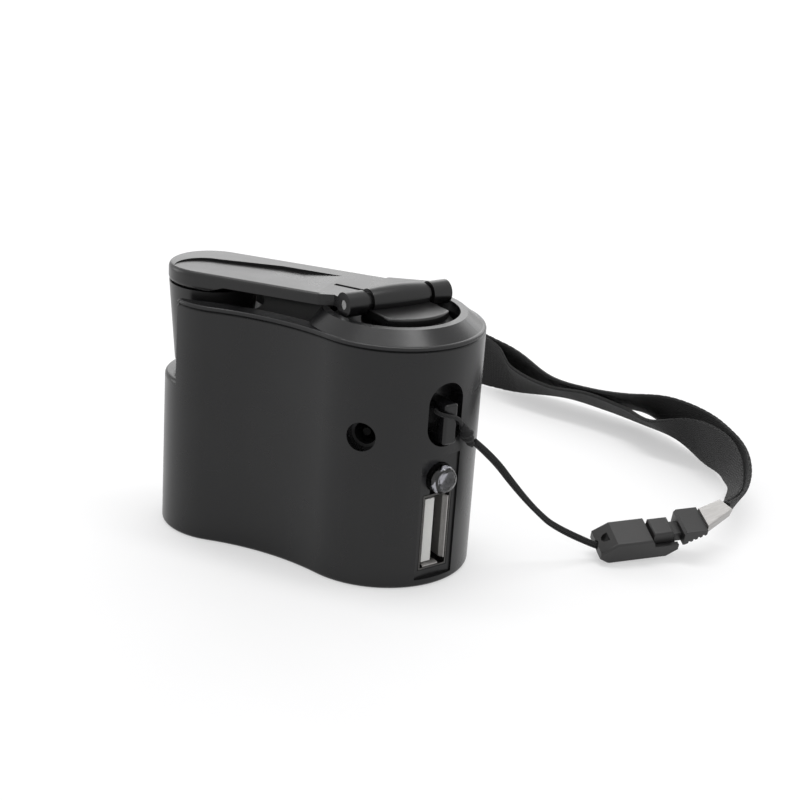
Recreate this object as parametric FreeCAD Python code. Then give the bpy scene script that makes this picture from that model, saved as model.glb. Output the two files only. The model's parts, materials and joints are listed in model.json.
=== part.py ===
"""Hand crank phone charger: a pear-shaped housing with a folding crank, a gear train, a small
generator, a USB-A socket, a lamp and a wrist strap.

Millimetres, +Z up.  The origin is on the crank axis at the bottom face.  The narrow end, where the
knob is stowed, is toward -X.  The crank is folded.
"""
import FreeCAD, Part
import math
import os

Vector = FreeCAD.Vector

# ---- housing outline and heights ------------------------------------------------------------
wide_radius = 15.0            # round end about the crank axis
narrow_radius = 10.9          # round end that holds the knob
end_distance = 28.7           # between the two round ends' centres
waist_radius = 40.0           # hollow curve of each side
wall = 1.6
floor_thickness = 2.0
bottom_edge_radius = 0.6
seam_height = 40.4            # where the top cover starts
seam_groove = 0.25            # bevel on each side of the seam
fit_gap = 0.1                 # between parts that are assembled and stay still
cutter = 100.0                # reach of a cutting shape that passes right through

# ---- top cover ------------------------------------------------------------------------------
rim_rise = 0.8                # the rounded rim, above the seam
rim_height = seam_height + rim_rise
rim_rounding = 0.5
skirt_thickness = 1.2
deck_drop = 1.2               # sunken deck under the arm, below the seam
deck_top = seam_height - deck_drop
deck_thickness = 1.6
deck_underside = deck_top - deck_thickness
bezel_rise = 2.7
bezel_top = seam_height + bezel_rise
bezel_shoulder = seam_height + 0.35     # the cone starts here
bezel_slope_width = 3.1
bezel_top_width = 1.24
bezel_outer_top_radius = wide_radius - bezel_slope_width
bezel_inner_radius = bezel_outer_top_radius - bezel_top_width
bezel_end_x = -0.95 * bezel_inner_radius    # flat end faces toward the arm, at the bezel's top
bezel_end_slope = 0.45        # how far the end face runs outward per unit of depth

# ---- crank ----------------------------------------------------------------------------------
hinge_angle = -35.35          # the hinge's front, from +X
hinge_rise = 4.2              # hinge line above the seam
hinge_height = seam_height + hinge_rise
knuckle_radius = 2.0
barrel_end_radius = 2.1
barrel_crown = 0.3            # the barrel is thicker by this in its middle
bezel_gap = 0.74              # from the crank's turning parts to the bezel
ear_outer = bezel_inner_radius - bezel_gap
ear_length = 3.5
knuckle_gap = 1.1             # groove between the barrel and each ear
shoulder_radius = 1.5         # the barrel's thinner ends, in that groove
shoulder_gap = 0.25           # from the shoulder to the ear
barrel_half_length = ear_outer - ear_length - knuckle_gap
pin_radius = 0.75
pin_running_gap = 0.06
arm_thickness = 1.8
arm_top = hinge_height + arm_thickness / 2
arm_half_width = 7.5
arm_fillet = 0.8
arm_end_drop = 2.1            # underside of the knob end, below the hinge line
arm_end_bottom = hinge_height - arm_end_drop
arm_thick_from_x = -27.0      # the underside starts to drop here
arm_thick_to_x = -30.2        # and is at full depth here
arm_root_clearance = 2.75     # plate edge to hinge axis
near_flare = 2.4              # length of the flare toward each ear
far_flare = 7.5
slit_width = 0.9              # slot beside the near ear
slit_start_x = -9.9
slit_end_x = -3.2
slit_offset = -2.3            # its middle line, from the crank axis
slit_angle = -7.0
scoop_depth = 0.55            # at the scoop's far wall
scoop_near_y = arm_fillet - arm_half_width
scoop_far_y = 0.52 * arm_half_width
scoop_round_radius = 0.68 * arm_half_width
scoop_round_y = -0.44 * arm_half_width
scoop_end_x = -10.8
scoop_run_out = 7.0           # the floor rises over this length at the hinge end
knob_x = -32.2
knob_length = 14.6
knob_top_radius = 7.4
knob_bottom_radius = 6.1
knob_rounding = 1.2
knob_gap = 0.1
knob_top = arm_end_bottom - knob_gap
knob_bottom = knob_top - knob_length
axle_radius = 1.5
axle_head_radius = 2.6
axle_head_height = 1.1
axle_head_recess = 0.5        # head above the knob's bottom face, and the room round it
axle_running_gap = 0.06
axle_depth_in_arm = 2.0

# ---- rotor under the bezel ------------------------------------------------------------------
rotor_disc_radius = bezel_inner_radius - bezel_gap
rotor_disc_gap = 0.7          # above the deck
rotor_disc_thickness = 1.0
rotor_disc_bottom = deck_top + rotor_disc_gap
rotor_disc_top = rotor_disc_bottom + rotor_disc_thickness
crescent_setback = 1.0
crescent_radius = rotor_disc_radius - crescent_setback
crescent_drop = 0.8           # the plate's top, below the hinge line
crescent_top = hinge_height - crescent_drop
crescent_side_gap = 0.5       # from the plate's sides to the ears
crescent_thickness = 1.3
crescent_edge = 0.5           # the plate starts this far in front of the hinge line
crescent_web_inset = 0.8      # the web below the plate is smaller by this on its sides
neck_half_width = 1.6         # joins the hinge barrel to the disc
rotor_hub_radius = 3.0
rotor_stub_radius = 1.5
bush_radius = 4.0
bush_running_gap = 0.05
rotor_screw_radius = 0.7
rotor_screw_head_radius = 2.1
rotor_screw_head_height = 0.8

# ---- knob pocket ----------------------------------------------------------------------------
pocket_half_width = 8.6
pocket_wall = 1.4
pocket_floor_gap = 0.7
pocket_floor = knob_bottom - pocket_floor_gap
pocket_floor_thickness = 1.4
pocket_mouth_x = -33.65       # the side walls stop here and leave the tip open
ledge_rounding = 0.8

# ---- gears ----------------------------------------------------------------------------------
gear_module = wide_radius / 30
pressure_angle = math.radians(20)
backlash = 0.10
mesh_slack = 0.10             # added to each centre distance
wheel_teeth = 36
pinion_teeth = 12
generator_pinion_teeth = 10
plate_thickness = 1.0
layer_gap = 0.3
wheel_c_face = 1.8
wheel_b_face = 2.0
wheel_a_face = 2.1
gear_stack = 8.6              # from the plate's bottom to the deck's underside
plate_bottom = deck_underside - gear_stack
plate_top = plate_bottom + plate_thickness
gear_axle_radius = 0.75
gear_running_gap = 0.05
washer_radius = 1.8
washer_thickness = 0.4

# ---- generator ------------------------------------------------------------------------------
can_radius = 0.48 * wide_radius
can_wall = 0.8
can_bottom = 10.0
end_cap_thickness = 1.6
bearing_radius = 2.2
bearing_height = 0.8
magnet_thickness = can_radius / 7.2
magnet_gap = 0.03             # glue between the magnets and the can
magnet_spacing = 4.0          # between the two magnets
armature_gap = 0.4
brush_room = 3.0              # below the armature, for the commutator and brushes
armature_bottom = can_bottom + brush_room
armature_headroom = 4.0
armature_top = plate_bottom - armature_headroom
armature_slot = 1.0           # between two pole shoes
poles = 3
armature_core_radius = 0.305 * can_radius
pole_width = can_radius / 3
pole_shoe_thickness = can_radius / 8
coil_thickness = 0.55
coil_end = 0.8                # how far a coil stands above its pole
commutator_radius = 1.9
commutator_bottom = 0.8       # above the can's open end
commutator_top = 2.1
shaft_radius = 0.75
brush_width = 1.2
brush_leaf_thickness = 0.5
brush_leaf_gap = 1.6          # from the commutator to the leaf that carries the brush
brush_terminal = 2.2          # length below the end cap
cradle_wall = 1.1
cradle_height = 6.0

# ---- ports on the wide end ------------------------------------------------------------------
port_angle = -32.3            # from +X
port_plane = wide_radius - 0.8     # flat of the port recess, from the crank axis
port_recess_half_width = 3.8
port_recess_bottom = 1.3
port_recess_top = 22.6
usb_width = 5.7               # outside of the shell
usb_height = 13.1
usb_length = 14.0
usb_bottom = 2.75
usb_metal = 0.3
tongue_thickness = 1.84
tongue_height = 11.1
tongue_offset = 0.95          # toward the side with the contacts
tongue_setback = 0.6
contact_width = 1.0
contact_thickness = 0.2
contact_pitches = (-3.5, -1.0, 1.0, 3.5)
lamp_radius = 2.5
lamp_height = usb_bottom + usb_height + 2.8
lamp_stick_out = 3.1
lamp_length = 8.6
lamp_flange_radius = 2.75
lamp_flange_thickness = 1.0
lead_radius = 0.25
lead_spacing = 2.54
side_hole_radius = 2.4
side_hole_x = 1.0
jack_radius = 3.05
side_hole_height = plate_bottom - jack_radius - 0.05
jack_length = 8.0
jack_bore_radius = 1.9
jack_pin_radius = 0.65
jack_bore_depth = 6.5
jack_collar_wall = 0.9
jack_collar_length = 2.4

# ---- board ----------------------------------------------------------------------------------
board_thickness = 1.0
board_inner = -1.0
board_outer = wide_radius - 2.4
board_top = side_hole_height - jack_radius - 1.35
capacitor_radius = 2.5
capacitor_height = board_top - 12.5
capacitor_place = 0.3 * wide_radius     # along the board
capacitor_leg_pitch = 2.0
chip_size = (4.0, 1.5, 5.0)
chip_place = wide_radius - 8.5
chip_bottom = board_top - 7.5
inductor_radius = 2.4
inductor_thickness = 2.6
inductor_place = 2.8
inductor_height = board_top - 4.0

# ---- lanyard anchor -------------------------------------------------------------------------
anchor_wall = 1.1
anchor_bottom = port_recess_top + 1.6
anchor_top = deck_underside - anchor_wall - 1.6
anchor_half_width = 0.318 * (anchor_top - anchor_bottom)
anchor_depth = 3.5            # recess floor, inside the wide end's outline
anchor_floor = wide_radius - anchor_depth
bar_width = 0.765 * anchor_half_width
bar_stand = 1.0               # front of the bar, outside the wide end's outline
bar_front = wide_radius + bar_stand
bar_thickness = 1.9
bar_bottom = anchor_bottom + 0.5
bar_top = anchor_bottom + 0.69 * (anchor_top - anchor_bottom)
bar_offset = 0.2
bar_foot = 1.5

# ---- case screws ----------------------------------------------------------------------------
rear_post_x = 6.5 - end_distance   # the two posts beside the pocket
rear_post_y = 7.2
front_post_radius = wide_radius - 3.515
front_post_angle = math.radians(54.9)
post_places = (
    (rear_post_x, rear_post_y),
    (rear_post_x, -rear_post_y),
    (front_post_radius * math.cos(front_post_angle),
     front_post_radius * math.sin(front_post_angle)),
)
post_radius = 2.5
counterbore_radius = 1.8
screw_head_radius = 1.6
screw_head_height = 1.5
screw_slot_depth = 0.6
screw_slot_half_width = 0.2
screw_radius = 0.95
screw_hole_radius = 1.1
post_web = 1.2
boss_radius = 1.6
screw_reach = 6.5             # above the gear plate

# ---- wrist strap ----------------------------------------------------------------------------
cord_diameter = 1.5
cord_route = (
    (16.6, -3.4, 24.6),
    (18.8, -0.6, 20.8),
    (21.7, 2.9, 15.3),
    (24.6, 6.3, 10.4),
    (28.4, 9.0, 6.2),
    (34.6, 14.1, 2.4),
)
loop_diameter = 0.8
loop_slack = 0.3               # between the loop and the bar
knot_radius = 1.45
ribbon_width = 11.0
ribbon_thickness = 1.9        # two layers
ribbon_route = (
    (52.8, 31.0),
    (54.6, 37.6),
    (55.0, 45.0),
    (52.8, 53.4),
    (48.0, 61.4),
    (41.2, 68.4),
    (32.2, 74.2),
    (22.0, 78.2),
    (11.0, 81.4),
    (0.0, 83.9),
    (-11.0, 85.3),
    (-22.0, 85.2),
    (-32.5, 83.2),
)
ribbon_gather = (             # where the ribbon widens: distance along Y, lower and upper edge
    (30.0, 5.0, 8.4),
    (44.0, 3.4, 8.2),
    (56.0, 0.0, 11.0),
)
clasp_place = (34.0, 14.4, 1.08)    # underside of the cord end, on the clasp's middle line
clasp_heading = 35.0          # from +X
clasp_pitch = 4.0             # the strap end is higher
clasp_lean = 19.5             # the side toward -Y is lower
clasp_length = 18.9
clasp_width = 5.9
clasp_rounding = 0.4
hump_start = 2.8
hump_end = 9.0
hump_height = 4.0
throat_half_width = 2.15
throat_bottom = 1.6
socket_length = 14.0
socket_deck = 2.4             # height of the throat's side walls beyond the hump
latch_half_width = 2.0
latch_top = 4.6
collar_start = 15.1
collar_top = 5.0
collar_edge = 1.0             # its thickness at the strap end
grip_pitch = 0.8
grip_depth = 0.35
eye_radius = 0.9
crimp_end = (52.8, 31.0, 6.9)
crimp_width = 4.4
crimp_height = 2.0
crimp_metal = 0.35
crimp_taper = 0.7             # narrower by this on each side, at the ribbon
tab_length = 1.6
tab_half_width = 1.4
tail_length = 3.4


# =============================================================================================
# helpers
# =============================================================================================
def cylinder(radius, low, high, x=0.0, y=0.0):
    return Part.makeCylinder(radius, high - low, Vector(x, y, low), Vector(0, 0, 1))


def rod(radius, start, end):
    line = end - start
    return Part.makeCylinder(radius, line.Length, start, line)


def block(x0, x1, y0, y1, z0, z1):
    return Part.makeBox(x1 - x0, y1 - y0, z1 - z0, Vector(x0, y0, z0))


def ring(outer, inner, low, high, x=0.0, y=0.0):
    return cylinder(outer, low, high, x, y).cut(cylinder(inner, low - 1, high + 1, x, y))


def turned(shape, angle):
    """The shape turned about the crank axis, from its own frame whose +X points outward."""
    shape.rotate(Vector(0, 0, 0), Vector(0, 0, 1), angle)
    return shape


def fused(first, *others):
    for other in others:
        first = first.fuse(other)
    return first.removeSplitter()


def less(first, *others):
    for other in others:
        first = first.cut(other)
    return first


def prism(points, z0, z1):
    corners = [Vector(x, y, z0) for x, y in points]
    wire = Part.makePolygon(corners + corners[:1])
    return Part.Face(wire).extrude(Vector(0, 0, z1 - z0))


def revolved(profile, x=0.0, y=0.0):
    """A solid of revolution about the vertical through x, y; profile is (radius, height) pairs."""
    corners = [Vector(x + r, y, z) for r, z in profile]
    wire = Part.makePolygon(corners + corners[:1])
    return Part.Face(wire).revolve(Vector(x, y, 0), Vector(0, 0, 1), 360)


def pear_face(offset, z):
    """The housing's outline in plan, moved outward by offset."""
    wide = wide_radius + offset
    narrow = narrow_radius + offset
    to_wide = wide_radius + waist_radius
    to_narrow = narrow_radius + waist_radius
    waist_x = (to_narrow**2 - to_wide**2 - end_distance**2) / (2 * end_distance)
    waist_y = math.sqrt(to_wide**2 - waist_x**2)
    waist = waist_radius - offset

    def towards(cx, radius, side):
        dx, dy = waist_x - cx, side * waist_y
        length = math.hypot(dx, dy)
        return Vector(cx + radius * dx / length, radius * dy / length, z)

    def crown(side):
        return Vector(waist_x, side * (waist_y - waist), z)

    wide_low = towards(0, wide, -1)
    wide_high = towards(0, wide, 1)
    narrow_low = towards(-end_distance, narrow, -1)
    narrow_high = towards(-end_distance, narrow, 1)
    edges = [
        Part.Arc(wide_low, Vector(wide, 0, z), wide_high).toShape(),
        Part.Arc(wide_high, crown(1), narrow_high).toShape(),
        Part.Arc(narrow_high, Vector(-end_distance - narrow, 0, z), narrow_low).toShape(),
        Part.Arc(narrow_low, crown(-1), wide_low).toShape(),
    ]
    return Part.Face(Part.Wire(edges))


def pear(offset, z0, z1):
    return pear_face(offset, z0).extrude(Vector(0, 0, z1 - z0))


def edges_at(shape, height, longer_than=0.0):
    """The edges that lie level at a height."""
    found = []
    for edge in shape.Edges:
        box = edge.BoundBox
        level = abs(box.ZMin - height) < 1e-4 and abs(box.ZMax - height) < 1e-4
        if level and edge.Length > longer_than:
            found.append(edge)
    return found


def u_slot(half_width, z0, z1):
    """The knob's pocket in plan: round toward the crank axis and open at the tip."""
    tip = -end_distance - 2 * narrow_radius
    straight = block(tip, knob_x, -half_width, half_width, z0, z1)
    return cylinder(half_width, z0, z1, knob_x, 0).fuse(straight)


def mouth_cut(z0, z1):
    """Everything beyond the ends of the pocket's side walls."""
    reach = 2 * narrow_radius
    return block(-end_distance - reach, pocket_mouth_x, -reach, reach, z0, z1)


# =============================================================================================
# housing
# =============================================================================================
def wall_tips(z0, z1):
    """The rounded upright ends of the pocket's two side walls."""
    across = math.sqrt(narrow_radius**2 - (pocket_mouth_x + end_distance) ** 2)
    radius = (across - pocket_half_width) / 2
    tips = [
        cylinder(radius, z0, z1, pocket_mouth_x, side * (pocket_half_width + radius))
        for side in (-1, 1)
    ]
    return tips[0].fuse(tips[1])


def outer_form():
    """The housing's outside, with a rounded ledge at the tip in front of the pocket."""
    body = pear(0, 0, seam_height)
    body = body.makeFillet(bottom_edge_radius, edges_at(body, 0))
    body = body.makeChamfer(seam_groove, edges_at(body, seam_height))
    ledge = pear(0, pocket_floor - 2 * ledge_rounding, pocket_floor)
    ledge = ledge.makeFillet(ledge_rounding, edges_at(ledge, pocket_floor))
    return fused(body.cut(mouth_cut(pocket_floor - ledge_rounding, seam_height + 1)), ledge)


def anchor_slot(grow, inner, outer):
    """An upright slot with round ends, between two distances from the crank axis."""
    low = anchor_bottom + anchor_half_width
    high = anchor_top - anchor_half_width
    radius = anchor_half_width + grow
    ends = [
        Part.makeCylinder(radius, outer - inner, Vector(inner, 0, z), Vector(1, 0, 0))
        for z in (low, high)
    ]
    middle = block(inner, outer, -radius, radius, low, high)
    return turned(fused(ends[0], ends[1], middle), port_angle)


def anchor_tub():
    """The recess's own walls inside the housing."""
    tub = anchor_slot(anchor_wall, anchor_floor - anchor_wall, wide_radius)
    return tub.common(pear(-wall / 2, 0, seam_height))


def anchor_bar():
    """The bar across the recess that the strap's cord loops round."""
    back = bar_front - bar_thickness
    side = bar_width / 2
    upright = block(back, bar_front, bar_offset - side, bar_offset + side, bar_bottom, bar_top)
    upright = upright.makeFillet(0.5, upright.Edges)
    low_foot = block(
        anchor_floor - 0.3, back + 0.8, bar_offset - side + 0.2, bar_offset + side - 0.2,
        bar_bottom + 0.1, bar_bottom + bar_foot,
    )
    high_foot = block(
        anchor_floor - 0.3, back + 0.8, bar_offset - side + 0.2, bar_offset + side - 0.2,
        bar_top - bar_foot, bar_top - 0.1,
    )
    return turned(fused(upright, low_foot, high_foot), port_angle)


def port_cuts():
    """The flat port recess, the USB opening and the lamp's hole."""
    side = port_recess_half_width
    flat = block(port_plane, wide_radius + 2, -side, side, port_recess_bottom, port_recess_top)
    half = usb_width / 2 + fit_gap
    opening = block(
        port_plane - 3, wide_radius + 2, -half, half,
        usb_bottom - fit_gap, usb_bottom + usb_height + fit_gap,
    )
    lamp = Part.makeCylinder(
        lamp_radius + fit_gap, 6, Vector(port_plane - 4, 0, lamp_height), Vector(1, 0, 0)
    )
    behind = block(
        port_plane - 3, wide_radius + 2, -1.6, 1.6, usb_bottom + usb_height - 1, lamp_height
    )
    return turned(fused(flat, opening, lamp, behind), port_angle)


def side_hole():
    start = Vector(side_hole_x, -wide_radius - 1, side_hole_height)
    return Part.makeCylinder(side_hole_radius, 3.5, start, Vector(0, 1, 0))


def jack_collar():
    """A round seat inside the wall that holds the jack; open on top, under the gear plate."""
    inside = -wide_radius + wall / 2
    length = jack_front() + jack_collar_length - inside
    start = Vector(side_hole_x, inside, side_hole_height)
    outer = Part.makeCylinder(jack_radius + jack_collar_wall, length, start, Vector(0, 1, 0))
    top = block(-wide_radius, wide_radius, -wide_radius, 0, plate_bottom - fit_gap, seam_height)
    return outer.cut(top).common(pear(-wall / 2, 0, seam_height))


def jack_seat():
    """The room that the jack takes in its collar."""
    start = Vector(side_hole_x, jack_front(), side_hole_height)
    return Part.makeCylinder(jack_radius + 0.02, jack_length, start, Vector(0, 1, 0))


def screw_seat():
    """Where the case screws' heads rest, inside the posts."""
    return plate_bottom - post_web


def screw_tip():
    return plate_top + screw_reach


def generator_x():
    return -(gear_module * (wheel_teeth + generator_pinion_teeth) / 2 + mesh_slack)


def end_cap_bottom():
    return can_bottom - end_cap_thickness


def make_main_housing():
    shell = outer_form().cut(pear(-wall, floor_thickness, seam_height + 1))

    tub_top = deck_underside - fit_gap
    tub = u_slot(pocket_half_width + pocket_wall, pocket_floor - pocket_floor_thickness, tub_top)
    tub = tub.common(pear(-wall / 2, 0, seam_height))
    posts = [
        cylinder(post_radius, floor_thickness / 2, plate_bottom, x, y).common(
            pear(-wall / 2, 0, seam_height)
        )
        for x, y in post_places
    ]
    gen_x = generator_x()
    cradle = ring(
        can_radius + fit_gap + cradle_wall, can_radius + fit_gap,
        floor_thickness / 2, end_cap_bottom() + cradle_height, gen_x, 0,
    )
    ledge = ring(
        can_radius + 2 * fit_gap, can_radius - cradle_wall,
        floor_thickness / 2, end_cap_bottom(), gen_x, 0,
    )
    body = fused(shell, tub, cradle, ledge, anchor_tub(), jack_collar(), *posts)

    pocket = u_slot(pocket_half_width, pocket_floor, seam_height + 1)
    bores = [cylinder(counterbore_radius, -1, screw_seat(), x, y) for x, y in post_places]
    holes = [cylinder(screw_hole_radius, 0, plate_top, x, y) for x, y in post_places]
    body = less(
        body, pocket, mouth_cut(pocket_floor, seam_height + 1),
        anchor_slot(0, anchor_floor, wide_radius + 1), port_cuts(),
        side_hole(), jack_seat(), *bores, *holes,
    )
    tips = wall_tips(pocket_floor - ledge_rounding, seam_height)
    tips = tips.makeChamfer(seam_groove, edges_at(tips, seam_height))
    return fused(body, tips.common(pear(0, 0, seam_height)), anchor_bar())


def make_top_cover():
    skirt_face = -(wall + fit_gap)
    plug = pear(skirt_face, deck_underside, rim_height)
    lip = pear(0, seam_height, rim_height)
    lip = lip.makeFillet(rim_rounding, edges_at(lip, rim_height))
    lip = lip.makeChamfer(seam_groove, edges_at(lip, seam_height))
    cover = fused(lip, plug)
    sunk = pear(skirt_face - skirt_thickness, deck_top, rim_height + 1)
    cover = cover.cut(sunk)

    inside = wide_radius + skirt_face - 2 * fit_gap
    bezel = revolved((
        (bezel_inner_radius, deck_top - 2 * fit_gap),
        (inside, deck_top - 2 * fit_gap),
        (inside, seam_height + fit_gap),
        (wide_radius - seam_groove, seam_height + fit_gap),
        (wide_radius, bezel_shoulder),
        (bezel_outer_top_radius, bezel_top),
        (bezel_inner_radius, bezel_top),
    ))
    run = bezel_end_slope * (bezel_top - deck_underside)
    keep = side_profile((
        (bezel_end_x, bezel_top), (cutter, bezel_top),
        (cutter, deck_underside), (bezel_end_x - run, deck_underside),
    ), wide_radius + 1)
    cover = fused(cover, bezel.common(keep))

    bosses = [
        cylinder(boss_radius, plate_top, deck_underside + 0.5, x, y)
        for x, y in post_places
    ]
    cover = fused(cover, *bosses)
    pilots = [
        cylinder(screw_radius + 0.01, plate_bottom, screw_tip() + 0.5, x, y)
        for x, y in post_places
    ]
    slot = u_slot(pocket_half_width, plate_bottom, rim_height + 1)
    tub = u_slot(pocket_half_width + pocket_wall + fit_gap, plate_bottom, deck_underside)
    cover = less(
        cover, slot, mouth_cut(plate_bottom, rim_height + 1), tub,
        cylinder(bush_radius, deck_underside - 1, deck_top + 1),
        cylinder(gear_axle_radius, deck_underside - 1, deck_top - 0.3, compound_x(), 0), *pilots,
    )
    tips = wall_tips(seam_height, rim_height)
    tips = tips.makeFillet(rim_rounding, edges_at(tips, rim_height))
    tips = tips.makeChamfer(seam_groove, edges_at(tips, seam_height))
    return fused(cover, tips.common(pear(0, seam_height, rim_height)))


def make_case_screws():
    """Three identical cross-head screws that come up from below into the cover's bosses."""
    bottom = screw_seat() - screw_head_height
    head = cylinder(screw_head_radius, bottom, screw_seat())
    shank = cylinder(screw_radius, screw_seat(), screw_tip())
    long, thin = screw_head_radius - 0.5, screw_slot_half_width
    drive = block(-long, long, -thin, thin, bottom - 1, bottom + screw_slot_depth)
    cross = block(-thin, thin, -long, long, bottom - 1, bottom + screw_slot_depth)
    screw = less(fused(head, shank), drive, cross)
    return Part.makeCompound([screw.translated(Vector(x, y, 0)) for x, y in post_places])


# =============================================================================================
# crank
# =============================================================================================
def hinge_rod(radius, low, high):
    """A round bar along the hinge line, between two places on it."""
    bar = Part.makeCylinder(radius, high - low, Vector(0, low, hinge_height), Vector(0, 1, 0))
    return turned(bar, hinge_angle)


def crescent(radius, half_width, low, high):
    """A level piece in front of the hinge, round on its far side, in the hinge's frame."""
    front = block(crescent_edge, radius, -half_width, half_width, low, high)
    return cylinder(radius, low, high).common(front)


def hinge_barrel():
    """The rotor's part of the hinge: a slightly crowned barrel with a thinner shoulder each end."""
    side = barrel_half_length
    outline = Part.Wire([
        Part.makeLine(Vector(0, -side, 0), Vector(barrel_end_radius, -side, 0)),
        Part.Arc(Vector(barrel_end_radius, -side, 0),
                 Vector(barrel_end_radius + barrel_crown, 0, 0),
                 Vector(barrel_end_radius, side, 0)).toShape(),
        Part.makeLine(Vector(barrel_end_radius, side, 0), Vector(0, side, 0)),
        Part.makeLine(Vector(0, side, 0), Vector(0, -side, 0)),
    ])
    barrel = Part.Face(outline).revolve(Vector(0, 0, 0), Vector(0, 1, 0), 360)
    barrel = turned(barrel.translated(Vector(0, 0, hinge_height)), hinge_angle)
    reach = side + knuckle_gap - shoulder_gap
    return fused(barrel, hinge_rod(shoulder_radius, -reach, reach))


def make_rotor():
    gear_top = input_gear_top()
    side = barrel_half_length
    plate_side = side + knuckle_gap - crescent_side_gap
    disc = cylinder(rotor_disc_radius, rotor_disc_bottom, rotor_disc_top)
    hub = cylinder(rotor_hub_radius, gear_top, rotor_disc_bottom + fit_gap)
    stub = cylinder(rotor_stub_radius, input_gear_bottom() + 1.0, gear_top + fit_gap)
    neck = block(-neck_half_width, neck_half_width, -side, side, rotor_disc_top - fit_gap,
                 hinge_height)
    plate = crescent(crescent_radius, plate_side, crescent_top - crescent_thickness, crescent_top)
    plate = plate.makeFillet(0.35, [e for e in edges_at(plate, crescent_top, side)
                                    if e.BoundBox.XLength > 1])
    web = crescent(crescent_radius - 2.2, side - crescent_web_inset, rotor_disc_top - fit_gap,
                   crescent_top - crescent_thickness + fit_gap)
    crank_side = turned(fused(neck, plate, web), hinge_angle)
    body = fused(disc, hub, stub, crank_side, hinge_barrel())
    bore = hinge_rod(pin_radius + pin_running_gap, -cutter, cutter)
    pilot = cylinder(rotor_screw_radius + 0.01, input_gear_bottom(), rotor_disc_bottom)
    return less(body, bore, pilot)


def input_gear_bottom():
    return wheel_b_bottom() + wheel_b_face + layer_gap


def input_gear_top():
    return input_gear_bottom() + wheel_a_face + 0.2


def make_rotor_bush():
    """A plain bearing pressed into the deck, with a flange on top."""
    inner = rotor_hub_radius + bush_running_gap
    return fused(
        ring(bush_radius, inner, deck_underside, deck_top + 0.2),
        ring(bush_radius + 0.8, inner, deck_top, deck_top + 0.3),
    )


def make_rotor_screw():
    low = input_gear_bottom() + fit_gap
    head = cylinder(rotor_screw_head_radius, low, low + rotor_screw_head_height)
    shank = cylinder(rotor_screw_radius, low + rotor_screw_head_height / 2, deck_top)
    long = rotor_screw_head_radius - 0.8
    slot = block(-long, long, -screw_slot_half_width, screw_slot_half_width, low - 1, low + 0.4)
    return less(fused(head, shank), slot)


def hinge_point(n, h):
    """A place in plan given from the hinge: outward from it and along it."""
    angle = math.radians(hinge_angle)
    return (n * math.cos(angle) - h * math.sin(angle), n * math.sin(angle) + h * math.cos(angle))


def arm_root():
    """The slanted end of the arm in plan, with the two ears' roots."""
    inner = barrel_half_length + knuckle_gap
    edge = -arm_root_clearance
    places = [(edge, -ear_outer), (0, -ear_outer), (0, -inner), (edge, -inner),
              (edge, inner), (0, inner), (0, ear_outer), (edge, ear_outer)]
    return [hinge_point(n, h) for n, h in places]


def arm_blade(z0, z1):
    """The arm's straight sides and round knob end, with a rounded rim above and below."""
    root = arm_root()
    near_side = Vector(root[0][0] - near_flare, -arm_half_width, z0)
    far_side = Vector(root[-1][0] - far_flare, arm_half_width, z0)
    near_end = Vector(knob_x, -arm_half_width, z0)
    far_end = Vector(knob_x, arm_half_width, z0)
    tip = Vector(knob_x - arm_half_width, 0, z0)
    outline = Part.Wire([
        Part.makeLine(near_end, near_side), Part.makeLine(near_side, far_side),
        Part.makeLine(far_side, far_end), Part.Arc(far_end, tip, near_end).toShape(),
    ])
    blade = Part.Face(outline).extrude(Vector(0, 0, z1 - z0))
    rim = []
    for edge in edges_at(blade, z0) + edges_at(blade, z1):
        middle = edge.valueAt((edge.FirstParameter + edge.LastParameter) / 2)
        if abs(middle.y) > arm_half_width - 0.01 or middle.x < knob_x:
            rim.append(edge)
    blade = blade.makeFillet(arm_fillet, rim)
    flare = [(near_side.x, near_side.y)] + root + [(far_side.x, far_side.y)]
    return fused(blade, prism(flare, z0, z1))


def scoop_tool():
    """A shallow finger scoop: its floor falls from the near edge to a low wall on the far side."""
    low = arm_top - scoop_depth
    above = arm_top + 1
    run_out = side_profile((
        (-cutter, low), (scoop_end_x - scoop_run_out, low), (scoop_end_x, arm_top),
        (scoop_end_x, above), (-cutter, above),
    ), arm_half_width)
    tilt = math.degrees(math.atan2(scoop_depth, scoop_far_y - scoop_near_y))
    tilted = block(-cutter, 0, 0, cutter, 0, cutter)
    tilted.rotate(Vector(0, 0, 0), Vector(1, 0, 0), -tilt)
    tilted.translate(Vector(0, scoop_near_y, arm_top))
    round_far = scoop_round_y + scoop_round_radius
    straight = prism((
        (knob_x, -arm_half_width), (knob_x, round_far),
        ((knob_x + scoop_end_x) / 2, scoop_far_y), (scoop_end_x, scoop_far_y),
        (scoop_end_x, -arm_half_width),
    ), low, above)
    round_end = cylinder(scoop_round_radius, low, above, knob_x, scoop_round_y)
    return run_out.common(tilted).common(fused(round_end, straight))


def arm_underside():
    """What is cut away below the thin part of the arm; it ends in a ramp to the knob end."""
    bottom = hinge_height - arm_thickness / 2
    below = arm_end_bottom - 1
    return side_profile((
        (arm_thick_to_x, below), (arm_thick_to_x, arm_end_bottom),
        (arm_thick_from_x, bottom), (cutter, bottom), (cutter, below),
    ), cutter)


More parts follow.
